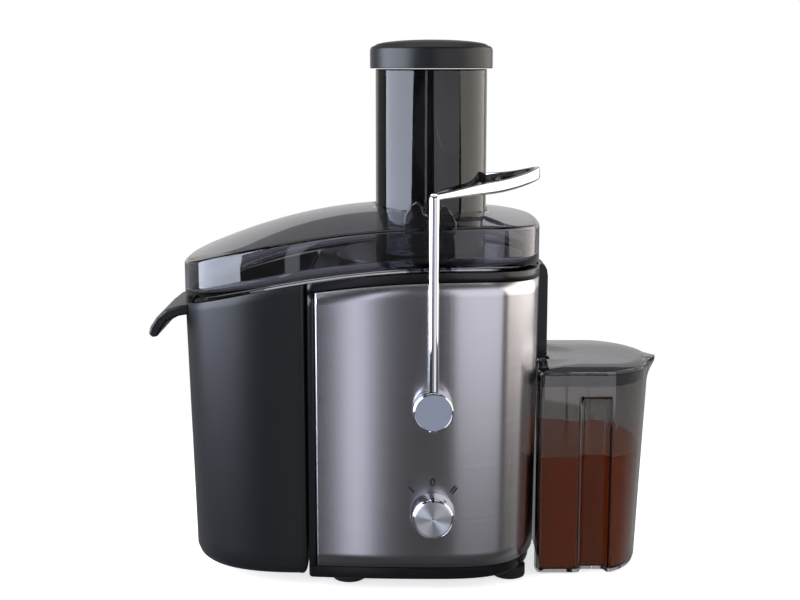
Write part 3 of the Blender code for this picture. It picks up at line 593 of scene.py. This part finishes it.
def make_housing(sizes):
    """The black moulding, its two frame strips and the two bent steel sheets."""
    plan = mirrored(even(housing_plan(RIM_TOP), 170))
    core = skin("housing_core", walls(plan, np.linspace(0, 1, 8), BAND_TOP, RIM_BAND + GAP, 1.3 * MM),
                "abs", "open")
    placed(thicken(core, 2 * MM), "base", "black_abs", "housing")
    front = housing_plan(RIM_TOP, 600)
    x, y = front[:, 0], front[:, 1]
    sheets = {"front": (x > -82 * MM) & (y < -44 * MM)}
    strips = {"left_strip": x < -82.3 * MM, "nose_strip": (x > 0) & (y > -43.7 * MM)}
    for place, side in (("front", 1), ("rear", -1)):
        line = even(front[sheets["front"]], 160) * (1, side)
        rows = walls(line, np.linspace(0, 1, 22), BAND_TOP + GAP, RIM_BAND + 2 * GAP)
        sheet = sheet_of(f"steel_sheet_{place}", rows, "steel", sizes.sheet)
        placed(sheet, "base", "stainless", f"steel_panel_{place}")
    for name, chosen in strips.items():
        line = front[chosen]
        line = even(np.concatenate((line, line[::-1][1:] * (1, -1))) if name == "nose_strip"
                    else np.concatenate((line[::-1] * (1, -1), line[1:])), 90)
        rows = walls(line, np.linspace(0, 1, 22), BAND_TOP + GAP, RIM_BAND + 2 * GAP)
        placed(sheet_of(name, rows, "abs", 1.2 * MM), "base", "black_abs")


def make_collector():
    """The rim that carries the cover, the deck, the bowl round the basket and the
    ribbed spout: one closed skin whose rings pass from the housing's plan to circles."""
    plan = mirrored(even(housing_plan(RIM_TOP), 170))
    bearing = np.arctan2(plan[:, 1], plan[:, 0])

    def band(depth, drop):
        """The housing's plan, depth inside it and drop below the arc."""
        line = inset(plan, depth * MM)
        return at(line, rim(plan[:, 0]) - drop * MM)

    def circle(radius, z):
        """A level circle about the motor axis, its points at the plan's bearings."""
        return at(radius * MM * np.stack((np.cos(bearing), np.sin(bearing)), 1), z * MM)
    rings = [band(1.2, 7), band(0.3, 6.7), band(0, 6), band(0, 1.2), band(0.3, 0.6), band(1.0, 0.3)]
    rings += [circle(*row) for row in ((72.4, 219.5), (71.8, 218), (71.8, 176), (14.5, 182), (14.5, 190),
                                       (12, 190), (12, 179.5), (74.4, 173.5), (74.4, 216))]
    placed(skin("rim_and_bowl", rings, "abs", "loop"), "base", "black_abs", "juice_collector")
    y = np.linspace(-14 * MM, 14 * MM, 57)
    ribs = 0.55 * MM * (np.cos(y / (4.6 * MM) * 2 * math.pi) > 0.55)
    right = np.stack((86.4 * MM + ribs, y), 1)
    plan_of_spout = np.concatenate((right, [(78.5 * MM, 14 * MM), (78.5 * MM, -14 * MM)]))
    levels = [(153.7, 0.6), (154.4, 0), (216, 0), (220.5, 0.7), (223.4, 2.2), (224.6, 4.0)]
    face = np.stack((plan_of_spout[:, 0] > 0.085, np.zeros(len(plan_of_spout))), 1)
    rings = [at(plan_of_spout - face * depth * MM, z * MM) for z, depth in levels]
    placed(skin("spout_strip", rings, "abs"), "base", "black_abs")


# ---- cover, chute and pusher ----------------------------------------------
def rise(x):
    """Height of the dome's crown over its edge."""
    left = 11 * MM * np.maximum(0, 1 - ((x + 60 * MM) / (118 * MM)) ** 2)
    right = 11 * 0.74 * MM * np.maximum(0, 1 - x / COVER_RIGHT)
    return np.where(x < 0, left, right)


def make_cover():
    """The smoked cover: a wall that stands on the arc, a rounded shoulder and a dome
    whose rows run across it, open round the chute; the two lugs stand on its sides."""
    plan = mirrored(cover_plan())
    wall, edge = 30.5 * MM, 3 * MM
    turn = np.linspace(0, math.pi / 2, 5)
    rings = [at(plan, rim(plan[:, 0]) + h) for h in (0.1 * MM, 10 * MM, 20 * MM)]
    for t in turn:
        line = inset(plan, edge * (1 - math.cos(t)))
        rings.append(at(line, rim(plan[:, 0]) + wall - edge * (1 - math.sin(t))))
    crown = inset(plan, edge)
    for share in (0.95, 0.85, 0.7, 0.52, 0.34, 0.17, 0.0):
        line = np.column_stack((crown[:, 0], crown[:, 1] * share))
        rings.append(at(line, rim(crown[:, 0]) + wall + rise(crown[:, 0]) * (1 - share ** 2)))
    faces = np.array(quads(len(rings), len(plan)))
    points = np.concatenate(rings)
    x, y = points[faces][..., :2].mean(1).T
    kept = faces[(np.hypot(x, y) > THROAT) | (points[faces[:, 0], 2] < WALL_TOP)].tolist()
    shell = finished("cover_shell", points, kept, "smoked")
    placed(thicken(shell, 2.3 * MM), "cover", "smoked_plastic", "cover")
    outline = rounded([(-20, 256), (-20, 268), (-16, 275), (-11, 277.7), (-8, 275), (-7, 269.5), (-3, 267.5),
                       (1, 269.5), (5, 275), (10, 273), (13.4, 268.6), (15.5, 264), (15.5, 256)], 2.0, 4) * MM
    outline = np.concatenate((outline, [outline[0]]))[:-1]
    for place, near, far in (("front", -91.4, -80), ("rear", 80, 91.4)):
        lug = soften(carried(f"cover_lug_{place}", outline, (near, far), "smoked"), 0.6 * MM)
        placed(lug, "cover", "smoked_plastic")


def make_chute():
    """The round feed chute, its lip rounded over."""
    profile = [(38.5, 196), (41, 196), (41, 366.4), (40.7, 367.1), (39.75, 367.3), (38.8, 367.1),
               (38.5, 366.4)]
    made = turned("chute_tube", profile, "smoked", ends="loop")
    placed(made, "cover", "smoked_plastic", "feed_chute")


def make_pusher():
    """The hollow pusher and its cap, which is crowned and rounded at its edge."""
    body = [(0, 212.5), (35.2, 212.5), (35.2, 367.2), (37.6, 367.2), (37.6, 211.2), (36.6, 210), (0, 210)]
    placed(turned("pusher_barrel", body, "abs"), "pusher", "black_abs", "pusher_body")
    turn = np.linspace(0, math.pi / 2, 10)
    crown = [(41.5 * math.sin(t), 384 + 4.5 * math.cos(t)) for t in turn]
    corner = [(41.5 + 3.5 * math.sin(t), 380.5 + 3.5 * math.cos(t)) for t in turn]
    cap = crown + corner + [(45, 368.2), (44.6, 367.7), (42.5, 367.7), (42.5, 370), (0, 370)]
    placed(turned("pusher_knob", cap, "pp"), "pusher", "textured_pp", "pusher_cap")


def make_basket():
    """The strainer basket: a cone of punched sheet with a rolled rim."""
    profile = [(0, 197.5), (15.2, 197.5), (15.2, 183), (18, 183), (18, 188), (50, 188), (69, 226),
               (70.3, 229.4), (70.5, 231), (69.9, 232), (68.6, 231.8), (67.2, 228), (48.6, 190),
               (19.5, 190), (19.5, 197), (16, 200), (0, 200)]
    made = turned("strainer_cone", profile, "mesh")
    placed(made, "rotor", "stainless", "strainer_basket")


# ---- pulp container --------------------------------------------------------
def make_bin():
    """The container: a bowed wall that widens to the arc, a rounded foot, and a
    curled tongue with a lip, carried along Y."""
    low, top = mirrored(bin_plan(1 - BIN_DRAFT)), mirrored(bin_plan())

    def ring(share, depth=0.0, z=None):
        """The wall's plan at a share of its height, or flat at z."""
        line = inset(low * (1 - share) + top * share, depth * MM)
        floor = BIN_LOW.z
        height = floor + share * (rim(top[:, 0]) - 2 * GAP - floor) if z is None else np.full(len(top), z)
        return at(line, height)
    foot = BIN_LOW.z
    rings = [ring(0, 5.5, foot), ring(0, 3.2, foot + 0.5 * MM), ring(0, 1.4, foot + 2 * MM),
             ring(0, 0.4, foot + 4.4 * MM), ring(0.03)]
    rings += [ring(share) for share in np.linspace(0.08, 0.97, 12)]
    rings += [ring(0.995), ring(1, 0.5), ring(1, 2.0), ring(0.99, 2.5)]
    rings += [ring(share, 2.5) for share in (0.6, 0.3, 0.06)] + [ring(0, 6, foot + 3 * MM)]
    placed(skin("bin_shell", rings, "pp"), "pulp_bin", "textured_pp", "pulp_container")
    outer = [(-176, 199), (-184, 197.8), (-193, 194.8), (-200, 189.3), (-204.6, 182.4), (-206, 177),
             (-203.4, 174.6), (-199.8, 175.2), (-197, 180), (-192.5, 186), (-184, 190.3), (-176, 191.6)]
    outline = rounded(outer + outer[:1], 2.2, 5)[:-1] * MM
    tongue = soften(carried("bin_tongue", outline, np.linspace(-42, 42, 9), "pp"), 1.6 * MM, 3)
    placed(tongue, "pulp_bin", "textured_pp")


# ---- locking arm -----------------------------------------------------------
def make_arm():
    """The bright bar: two round rods and a flat loop, which follows a smooth
    line through its stops and rises towards the nose; hubs on both sides."""
    stops = np.array([(0, -102), (18, -76), (40, -47), (62, -25.5), (75.5, -11.5), (79.5, 0)]) * MM
    stops = np.concatenate((stops, stops[::-1][1:] * (1, -1)))
    ends = np.concatenate(([2 * stops[0] - stops[1]], stops, [2 * stops[-1] - stops[-2]]))
    t = np.linspace(0, 1, 12, endpoint=False)[:, None]
    a, b, c, d = (ends[i:len(ends) - 3 + i, None] for i in range(4))
    path = 0.5 * (2 * b + (c - a) * t + (2 * a - 5 * b + 4 * c - d) * t ** 2
                  + (3 * b - a - 3 * c + d) * t ** 3)
    path = np.concatenate((path.reshape(-1, 2), stops[-1:]))
    x = path[:, 0]
    height = 0.282 + 1.5 * MM * x / 0.04 + 6.5 * MM * np.maximum(0, (x - 0.04) / 0.04) ** 2
    line = np.column_stack((path, height))
    turn = np.linspace(0, 2 * math.pi, 28, endpoint=False)
    side = np.sign(np.cos(turn)) * np.abs(np.cos(turn)) ** 0.6
    up = np.sign(np.sin(turn)) * np.abs(np.sin(turn)) ** 0.6
    spread = eased(x / 0.05)
    half, thick = (2.4 + 2.0 * spread) * MM, (3.0 - 1.3 * spread) * MM
    sections = np.stack((thick[:, None] * side, half[:, None] * up), -1)
    placed(tube("arm_loop", line, sections, "chrome"), "arm", "chrome", "arm_handle")
    pivot = (0, 0, PIVOT_Z)
    for place, front in (("front", -1), ("rear", 1)):
        bottom, top = (PIVOT_Z + 14.4 * MM) / MM, 284.2
        dome = [(3.6 * math.cos(t), top - 3.4 + 3.4 * math.sin(t)) for t in np.linspace(0, math.pi / 2, 6)]
        rod = turned(f"arm_bar_{place}", [(0, bottom), (3.6, bottom)] + dome, "chrome",
                     centre=(0, front * ARM_DEPTH, 0), around=40)
        placed(rod, "arm", "chrome", f"arm_rod_{place}")
        ring = [(0, 99), (13.6, 99), (14.1, 99.6), (14.1, 105.7), (13.4, 106.7), (12.9, 107), (12.6, 106.7),
                (0, 106.7)]
        ring = turned(f"arm_hub_{place}", ring, "chrome", pivot, front)
        placed(ring, "arm", "aluminium", f"pivot_hub_{place}")
        face = [(0, 106.75), (12.55, 106.75), (12.55, 106.9), (0, 106.9)]
        face = turned(f"arm_hub_face_{place}", face, "hub", pivot, front)
        placed(face, "arm", "aluminium")
        seat = [(4.6, 93.4), (14, 93.4), (14, 98), (13.5, 98.7), (4.6, 98.7)]
        seat = turned(f"hub_seat_{place}", seat, "chrome", pivot, front, "loop")
        placed(seat, "base", "chrome", f"pivot_base_{place}")


# ---- speed knob and its dial ----------------------------------------------
def make_knob():
    """A chrome skirt, a turned face with the lathe's circles, a pointer notch, and the dial's marks."""
    centre = (0, 0, KNOB_Z)
    skirt = [(3.4, 93.6), (15.85, 93.6), (15.85, 95.5), (14.6, 104.5), (14.2, 105.9), (13.3, 106.6),
             (12.9, 106.3), (12.9, 105.8), (3.4, 105.8)]
    made = turned("knob_skirt", skirt, "chrome", centre, -1, "loop")
    placed(made, "knob", "chrome", "speed_knob")
    radius = np.linspace(0.3, 12.9, 14) * MM
    turn = np.linspace(0, 2 * math.pi, 97)
    grid = np.stack((radius[:, None] * np.cos(turn), np.full((14, 97), -106.7 * MM),
                     KNOB_Z + radius[:, None] * np.sin(turn)), -1)
    uv = np.stack((np.broadcast_to(radius[:, None] / (13 * MM), (14, 97)),
                   np.broadcast_to(turn / (2 * math.pi), (14, 97))), -1).reshape(-1, 2)
    face = finished("knob_disc", grid, quads(14, 97, False), "aluminium", uv=uv)
    if face.data.polygons[0].normal.y > 0:
        face.data.flip_normals()
    placed(thicken(face, 0.3 * MM), "knob", "aluminium", "knob_face")
    notch = block("knob_notch", (-0.8 * MM, -107 * MM, KNOB_Z + 12.6 * MM),
                  (0.8 * MM, -103 * MM, KNOB_Z + 15 * MM), "abs", 0.3 * MM)
    placed(notch, "knob", "black_abs")
    marks = (("mark_one", "I", -40), ("mark_zero", "0", 0), ("mark_two", "II", 40))
    for name, word, degrees in marks:
        letter = bpy.data.curves.new(name, "FONT")
        letter.body, letter.size, letter.align_x, letter.align_y = word, 7.8 * MM, "CENTER", "CENTER"
        letter.extrude, letter.offset = 0.05 * MM, 0.2 * MM
        turn = math.radians(degrees)
        source = linked(name, letter)
        mesh = bpy.data.meshes.new_from_object(source.evaluated_get(bpy.context.evaluated_depsgraph_get()))
        bpy.data.objects.remove(source)
        flat = np.zeros(3 * len(mesh.vertices), np.float32)
        mesh.vertices.foreach_get("co", flat)
        flat = flat.reshape(-1, 3).astype(float)
        across = flat[:, 0] * math.cos(turn) + flat[:, 1] * math.sin(turn)
        up = -flat[:, 0] * math.sin(turn) + flat[:, 1] * math.cos(turn)
        x = across + 22.8 * MM * math.sin(turn)
        y = -HOUSING_DEPTH - 0.08 * MM + (HOUSING_DEPTH - LEFT_DEPTH) * (x / HOUSING_LEFT) ** 2 * (x < 0)
        z = KNOB_Z + up + 22.8 * MM * math.cos(turn)
        mesh.vertices.foreach_set("co", np.column_stack((x + AXIS_X, y - flat[:, 2], z)).ravel())
        mesh.materials.clear()
        mesh.materials.append(FINISHES["print"])
        placed(linked(name, mesh), "base", "black_abs")


def make_feet():
    """Four round feet, drawn in under the base."""
    for place in ("front_left", "front_right", "rear_left", "rear_right"):
        low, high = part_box(f"foot_{place}")
        centre = ((low.x + high.x) / 2 - AXIS_X, (low.y + high.y) / 2, 0)
        top, radius = high.z / MM, (high.x - low.x) / 2 / MM
        profile = [(0, 0.02), (radius - 1.5, 0.02), (radius - 0.5, 0.5), (radius - 0.1, 1.6),
                   (radius - 0.1, top - 0.2), (0, top - 0.2)]
        foot = turned(f"sole_{place}", profile, "rubber", centre, around=56)
        placed(foot, "base", "rubber", f"foot_{place}")


# ---- jug -------------------------------------------------------------------
def make_jug(sizes):
    """The jug: rings of its plan with a finger groove that ends in an arch, and a
    lip near the top; the juice fills it to its level just inside the wall.  The
    lid has a skirt inside the jug and a notch that clears the spout."""
    def spout(z):
        """How far the pouring lip has grown at a height, 0 to 1."""
        return float(np.clip((z - 0.131) / 0.018, 0, 1) ** 1.4)
    heights = np.concatenate((np.linspace(JUG_LOW.z + 3 * MM, 0.124, 12), np.linspace(0.126, 0.137, 12),
                              np.linspace(0.1395, JUG_HIGH.z, 6)))
    outer = [jug_ring(JUG_LOW.z, 2.2 * MM), jug_ring(JUG_LOW.z + 0.8 * MM, 0.6 * MM)]
    outer += [jug_ring(z, 0.05 * MM, spout(z)) for z in heights]
    inner = [jug_ring(z, JUG_WALL, spout(z)) for z in heights[::-1]]
    inner += [jug_ring(JUG_LOW.z + 2.9 * MM, 4.0 * MM)]
    placed(skin("jug_wall", outer + inner, "jug"), "jug", "smoked_plastic", "jug")
    under, crown = JUG_HIGH.z + GAP, LID_HIGH.z
    rows = [(crown - 1.8 * MM, 4.4, 0), (0.141, 4.4, 0), (0.141, 2.8, 0), (under, 2.8, 0), (under, 0.1, 1),
            (crown - 0.8 * MM, 0.05, 1), (crown - 0.2 * MM, 0.3, 1), (crown, 0.9, 1)]
    top = []
    for z, depth, lip in rows:
        line = jug_ring(z, depth * MM, lip)
        beside_spout = (np.abs(line[:, 1]) < 17.5 * MM) & (line[:, 0] < 0.1)
        line[beside_spout, 0] = 89.3 * MM
        top.append(line)

    def closing(line, shares):
        """Rings that fill a flat end from a point which all of it can see, clear of the notch."""
        middle = np.array((150 * MM, 0, line[0, 2]))
        return [middle + (line - middle) * share for share in shares]
    rings = closing(top[0], (0, 0.5)) + top + closing(top[-1], (0.5, 0))
    lid = skin("jug_cap", rings, "smoked", "open", sharp=20.0)
    placed(lid, "jug_lid", "smoked_plastic", "jug_lid")
    levels = np.linspace(JUG_LOW.z + 3.4 * MM, sizes.juice_level, 12)
    juice = [jug_ring(levels[0], 4.6 * MM)] + [jug_ring(z, JUG_WALL + 0.25 * MM) for z in levels[1:]]
    placed(skin("juice", juice, "juice"), "jug", "smoked_plastic")


# ---- studio ----------------------------------------------------------------
FOCAL_MM, SENSOR_MM = 61.92, 36
CAMERA_AT = (-0.023, -1.025, 0.368)     # from the motor axis on the table
CAMERA_DOWN = 9.57                      # degrees below level


def panel_light(name, degrees, width, low, high, radiance, colour, far=1.3):
    """A soft box stood round the juicer; degrees are measured from the front to the right."""
    turn = math.radians(degrees)
    light = bpy.data.lights.new(name, "AREA")
    light.shape, light.size, light.size_y = "RECTANGLE", width, high - low
    light.energy = radiance * math.pi * width * (high - low)
    light.color = linear(colour)[:3]
    made = linked(name, light)
    centre = Vector((AXIS_X + far * math.sin(turn), -far * math.cos(turn), (low + high) / 2))
    made.location = centre
    made.rotation_euler = (Vector((AXIS_X, 0, 0.2)) - centre).to_track_quat("-Z", "Y").to_euler()
    made.visible_camera = False


def make_studio(stage):
    """The camera, the soft boxes, a world that is white to the camera alone, and the floor."""
    scene = bpy.context.scene
    lens = bpy.data.cameras.new("view")
    lens.lens, lens.sensor_width = FOCAL_MM, SENSOR_MM
    lens.clip_start = 0.05
    camera = linked("view", lens)
    camera.location = (AXIS_X + CAMERA_AT[0], CAMERA_AT[1], CAMERA_AT[2])
    camera.rotation_euler = (math.radians(90 - CAMERA_DOWN), 0, 0)
    scene.camera = camera
    scene.view_settings.view_transform = "Standard"
    for row in (("fill_right", 32, 1.30, -0.25, 1.2, 0.95, "#f7f7ff"),
                ("key_right", 102, 2.10, -0.1, 1.2, 1.75, "#fff6ec"),
                ("key_left", -74, 1.70, -0.1, 1.2, 6.0, "#e6edff"),
                ("edge_left", -11.5, 0.10, -0.6, 1.2, 1.35, "#eef0ff"),
                ("back", 180, 2.4, 0.1, 0.8, 0.40, "#ffffff", 1.6)):
        panel_light(*row)
    above = bpy.data.lights.new("above", "AREA")
    above.shape, above.size, above.size_y, above.energy = "RECTANGLE", 1.4, 1.0, 4.0
    hung = linked("above", above)
    hung.location = (AXIS_X, 0.2, 1.6)
    hung.visible_camera = False
    world = bpy.data.worlds.new("studio")
    world.use_nodes = True
    tree = world.node_tree
    tree.nodes.clear()
    where = add(tree, "ShaderNodeTexCoord")
    axes = add(tree, "ShaderNodeSeparateXYZ", links={"Vector": where.outputs["Generated"]})
    shade = add(tree, "ShaderNodeMapRange",
                {"From Min": -0.1, "From Max": 0.5, "To Min": 0.045, "To Max": 0.22},
                {"Value": axes.outputs["Y"]})
    rays = add(tree, "ShaderNodeLightPath")
    through = add(tree, "ShaderNodeMath", {1: 0.4}, {0: rays.outputs["Is Transmission Ray"]},
                  operation="MULTIPLY")
    clear = add(tree, "ShaderNodeMath", {}, {0: rays.outputs["Is Camera Ray"], 1: through.outputs[0]},
                operation="MAXIMUM")
    seen = add(tree, "ShaderNodeMix", {3: 1.0}, {0: clear.outputs[0], 2: shade.outputs["Result"]},
               data_type="FLOAT")
    sky = add(tree, "ShaderNodeBackground", {"Color": (1, 1, 1, 1)}, {"Strength": seen.outputs[0]})
    add(tree, "ShaderNodeOutputWorld", links={"Surface": sky.outputs["Background"]})
    scene.world = world
    turn = np.linspace(0, 2 * math.pi, 96, endpoint=False)
    radii = np.linspace(0.02, stage.floor_radius, 30)
    rings = [np.stack((r * np.cos(turn), r * np.sin(turn), np.full(96, -0.0006)), 1) for r in radii]
    FINISHES["floor"] = floor_finish(stage.floor_radius)
    floor = skin("floor", rings, "floor", "open")


def floor_finish(radius):
    """Matt white paper, which fades out at the edge of the disc."""
    made, tree, shader, where = finish_of("matt_white_paper", Base_Color=linear("#fbfbfb"), Roughness=0.9)
    shader.inputs["Emission Color"].default_value = (1, 1, 1, 1)
    shader.inputs["Emission Strength"].default_value = 0.72
    spot = add(tree, "ShaderNodeVectorMath", {1: (AXIS_X, 0, 0)}, {0: where}, operation="SUBTRACT")
    far = add(tree, "ShaderNodeVectorMath", {}, {0: spot.outputs[0]}, operation="LENGTH")
    fade = add(tree, "ShaderNodeMapRange", {"From Min": radius * 0.3, "From Max": radius * 0.95},
               {"Value": far.outputs["Value"]}, interpolation_type="SMOOTHSTEP")
    rays = add(tree, "ShaderNodeLightPath")
    unseen = add(tree, "ShaderNodeMath", {}, {0: fade.outputs["Result"], 1: rays.outputs["Is Glossy Ray"]},
                 operation="MAXIMUM")
    clear = add(tree, "ShaderNodeBsdfTransparent")
    both = add(tree, "ShaderNodeMixShader", {}, {0: unseen.outputs[0], 1: shader.outputs["BSDF"],
                                                 2: clear.outputs["BSDF"]})
    tree.links.new(both.outputs["Shader"], tree.nodes["Material Output"].inputs["Surface"])
    return made


# ---- what a user may change ------------------------------------------------
def colour_prop(name, description, code):
    """A colour to pick in the panel, which starts at an sRGB hex code."""
    return bpy.props.FloatVectorProperty(name=name, description=description, default=linear(code)[:3],
                                         size=3, min=0.0, max=1.0, subtype="COLOR")


def length_prop(name, description, default, low, high):
    """A length in metres, with its limits."""
    return bpy.props.FloatProperty(name=name, description=description, default=default, min=low, max=high,
                                   subtype="DISTANCE", unit="LENGTH")


class JuicerColours(bpy.types.PropertyGroup):
    """Colours of the finishes."""
    abs: colour_prop("Black moulding", "Colour of the glossy black ABS", "#0d0d0f")
    pp: colour_prop("Container", "Colour of the grained polypropylene", "#131417")
    smoke: colour_prop("Smoked cover", "Tint of the cover and chute", "#94959d")
    jug: colour_prop("Smoked jug", "Tint of the jug", "#a9a7a6")
    steel: colour_prop("Steel", "Colour of the brushed panels", "#d9d8de")
    chrome: colour_prop("Chrome", "Colour of the arm's plating", "#e4e5e8")
    aluminium: colour_prop("Knob face", "Colour of the turned aluminium", "#eef0f6")
    hub: colour_prop("Hub face", "Colour of the satin hub", "#adb3c2")
    juice: colour_prop("Juice", "Colour of the juice", "#ff6d14")


class JuicerSizes(bpy.types.PropertyGroup):
    """Sizes that can change without moving another piece."""
    sheet: length_prop("Steel sheet", "Thickness of the steel panels", 0.0008, 0.0004, 0.001)
    juice_level: length_prop("Juice level", "Height of the juice above the table", 0.0885, 0.02, 0.13)


class JuicerStage(bpy.types.PropertyGroup):
    """The studio."""
    floor_radius: length_prop("Floor", "Radius of the floor's disc", 0.6, 0.3, 2.0)


# ---- operators: a making function that fails raises an error -----------------
class JUICER_OT_finishes(bpy.types.Operator):
    """Make every finish and give each carried-over part its own"""
    bl_idname = "juicer.finishes"
    bl_label = "Finishes"
    bl_options = {"REGISTER", "UNDO"}

    def execute(self, context):
        make_finishes(context.scene.juicer_colours)
        return {"FINISHED"}


class JUICER_OT_base(bpy.types.Operator):
    """Make the band round the foot and the four feet"""
    bl_idname = "juicer.base"
    bl_label = "Base band and feet"
    bl_options = {"REGISTER", "UNDO"}

    def execute(self, context):
        make_band()
        make_feet()
        return {"FINISHED"}


class JUICER_OT_housing(bpy.types.Operator):
    """Make the black moulding, its strips and the steel sheets"""
    bl_idname = "juicer.housing"
    bl_label = "Housing"
    bl_options = {"REGISTER", "UNDO"}

    def execute(self, context):
        make_housing(context.scene.juicer_sizes)
        return {"FINISHED"}


class JUICER_OT_collector(bpy.types.Operator):
    """Make the rim, the bowl and the spout"""
    bl_idname = "juicer.collector"
    bl_label = "Juice collector"
    bl_options = {"REGISTER", "UNDO"}

    def execute(self, context):
        make_collector()
        return {"FINISHED"}


class JUICER_OT_cover(bpy.types.Operator):
    """Make the smoked cover, its lugs and the chute"""
    bl_idname = "juicer.cover"
    bl_label = "Cover"
    bl_options = {"REGISTER", "UNDO"}

    def execute(self, context):
        make_cover()
        make_chute()
        return {"FINISHED"}


class JUICER_OT_pusher(bpy.types.Operator):
    """Make the pusher and its cap"""
    bl_idname = "juicer.pusher"
    bl_label = "Pusher"
    bl_options = {"REGISTER", "UNDO"}

    def execute(self, context):
        make_pusher()
        return {"FINISHED"}


class JUICER_OT_basket(bpy.types.Operator):
    """Make the strainer basket"""
    bl_idname = "juicer.basket"
    bl_label = "Basket"
    bl_options = {"REGISTER", "UNDO"}

    def execute(self, context):
        make_basket()
        return {"FINISHED"}


class JUICER_OT_bin(bpy.types.Operator):
    """Make the container and its handle"""
    bl_idname = "juicer.bin"
    bl_label = "Pulp container"
    bl_options = {"REGISTER", "UNDO"}

    def execute(self, context):
        make_bin()
        return {"FINISHED"}


class JUICER_OT_arm(bpy.types.Operator):
    """Make the bar, its loop and the hubs"""
    bl_idname = "juicer.arm"
    bl_label = "Locking arm"
    bl_options = {"REGISTER", "UNDO"}

    def execute(self, context):
        make_arm()
        return {"FINISHED"}


class JUICER_OT_knob(bpy.types.Operator):
    """Make the knob and the dial's marks"""
    bl_idname = "juicer.knob"
    bl_label = "Speed knob"
    bl_options = {"REGISTER", "UNDO"}

    def execute(self, context):
        make_knob()
        return {"FINISHED"}


class JUICER_OT_jug(bpy.types.Operator):
    """Make the jug, its lid and the juice"""
    bl_idname = "juicer.jug"
    bl_label = "Jug"
    bl_options = {"REGISTER", "UNDO"}

    def execute(self, context):
        make_jug(context.scene.juicer_sizes)
        return {"FINISHED"}


class JUICER_OT_studio(bpy.types.Operator):
    """Make the camera, lights and floor"""
    bl_idname = "juicer.studio"
    bl_label = "Studio"
    bl_options = {"REGISTER", "UNDO"}

    def execute(self, context):
        make_studio(context.scene.juicer_stage)
        return {"FINISHED"}


OPERATORS = (JUICER_OT_finishes, JUICER_OT_base, JUICER_OT_housing, JUICER_OT_collector,
             JUICER_OT_cover, JUICER_OT_pusher, JUICER_OT_basket, JUICER_OT_bin, JUICER_OT_arm,
             JUICER_OT_knob, JUICER_OT_jug, JUICER_OT_studio)


class JUICER_PT_pieces(bpy.types.Panel):
    """Lists what can be changed and the pieces"""
    bl_idname = "JUICER_PT_pieces"
    bl_label = "Centrifugal juicer"
    bl_space_type = "VIEW_3D"
    bl_region_type = "UI"
    bl_category = "Juicer"

    def draw(self, context):
        for group in (context.scene.juicer_colours, context.scene.juicer_sizes, context.scene.juicer_stage):
            for key in group.__annotations__:
                self.layout.prop(group, key)
        for made in OPERATORS:
            self.layout.operator(made.bl_idname)


GROUPS = {"juicer_colours": JuicerColours, "juicer_sizes": JuicerSizes, "juicer_stage": JuicerStage}


def register():
    """Register the classes and hang the settings on the scene."""
    for made in [*GROUPS.values(), *OPERATORS, JUICER_PT_pieces]:
        bpy.utils.register_class(made)
    for key, group in GROUPS.items():
        setattr(bpy.types.Scene, key, bpy.props.PointerProperty(type=group))


def unregister():
    """Undo register."""
    for key in GROUPS:
        delattr(bpy.types.Scene, key)
    for made in [JUICER_PT_pieces, *OPERATORS[::-1], *list(GROUPS.values())[::-1]]:
        bpy.utils.unregister_class(made)


def main():
    """Run every operator in order."""
    register()
    for made in OPERATORS:
        getattr(bpy.ops.juicer, made.bl_idname.split(".")[1])()


if __name__ == "__main__":
    main()
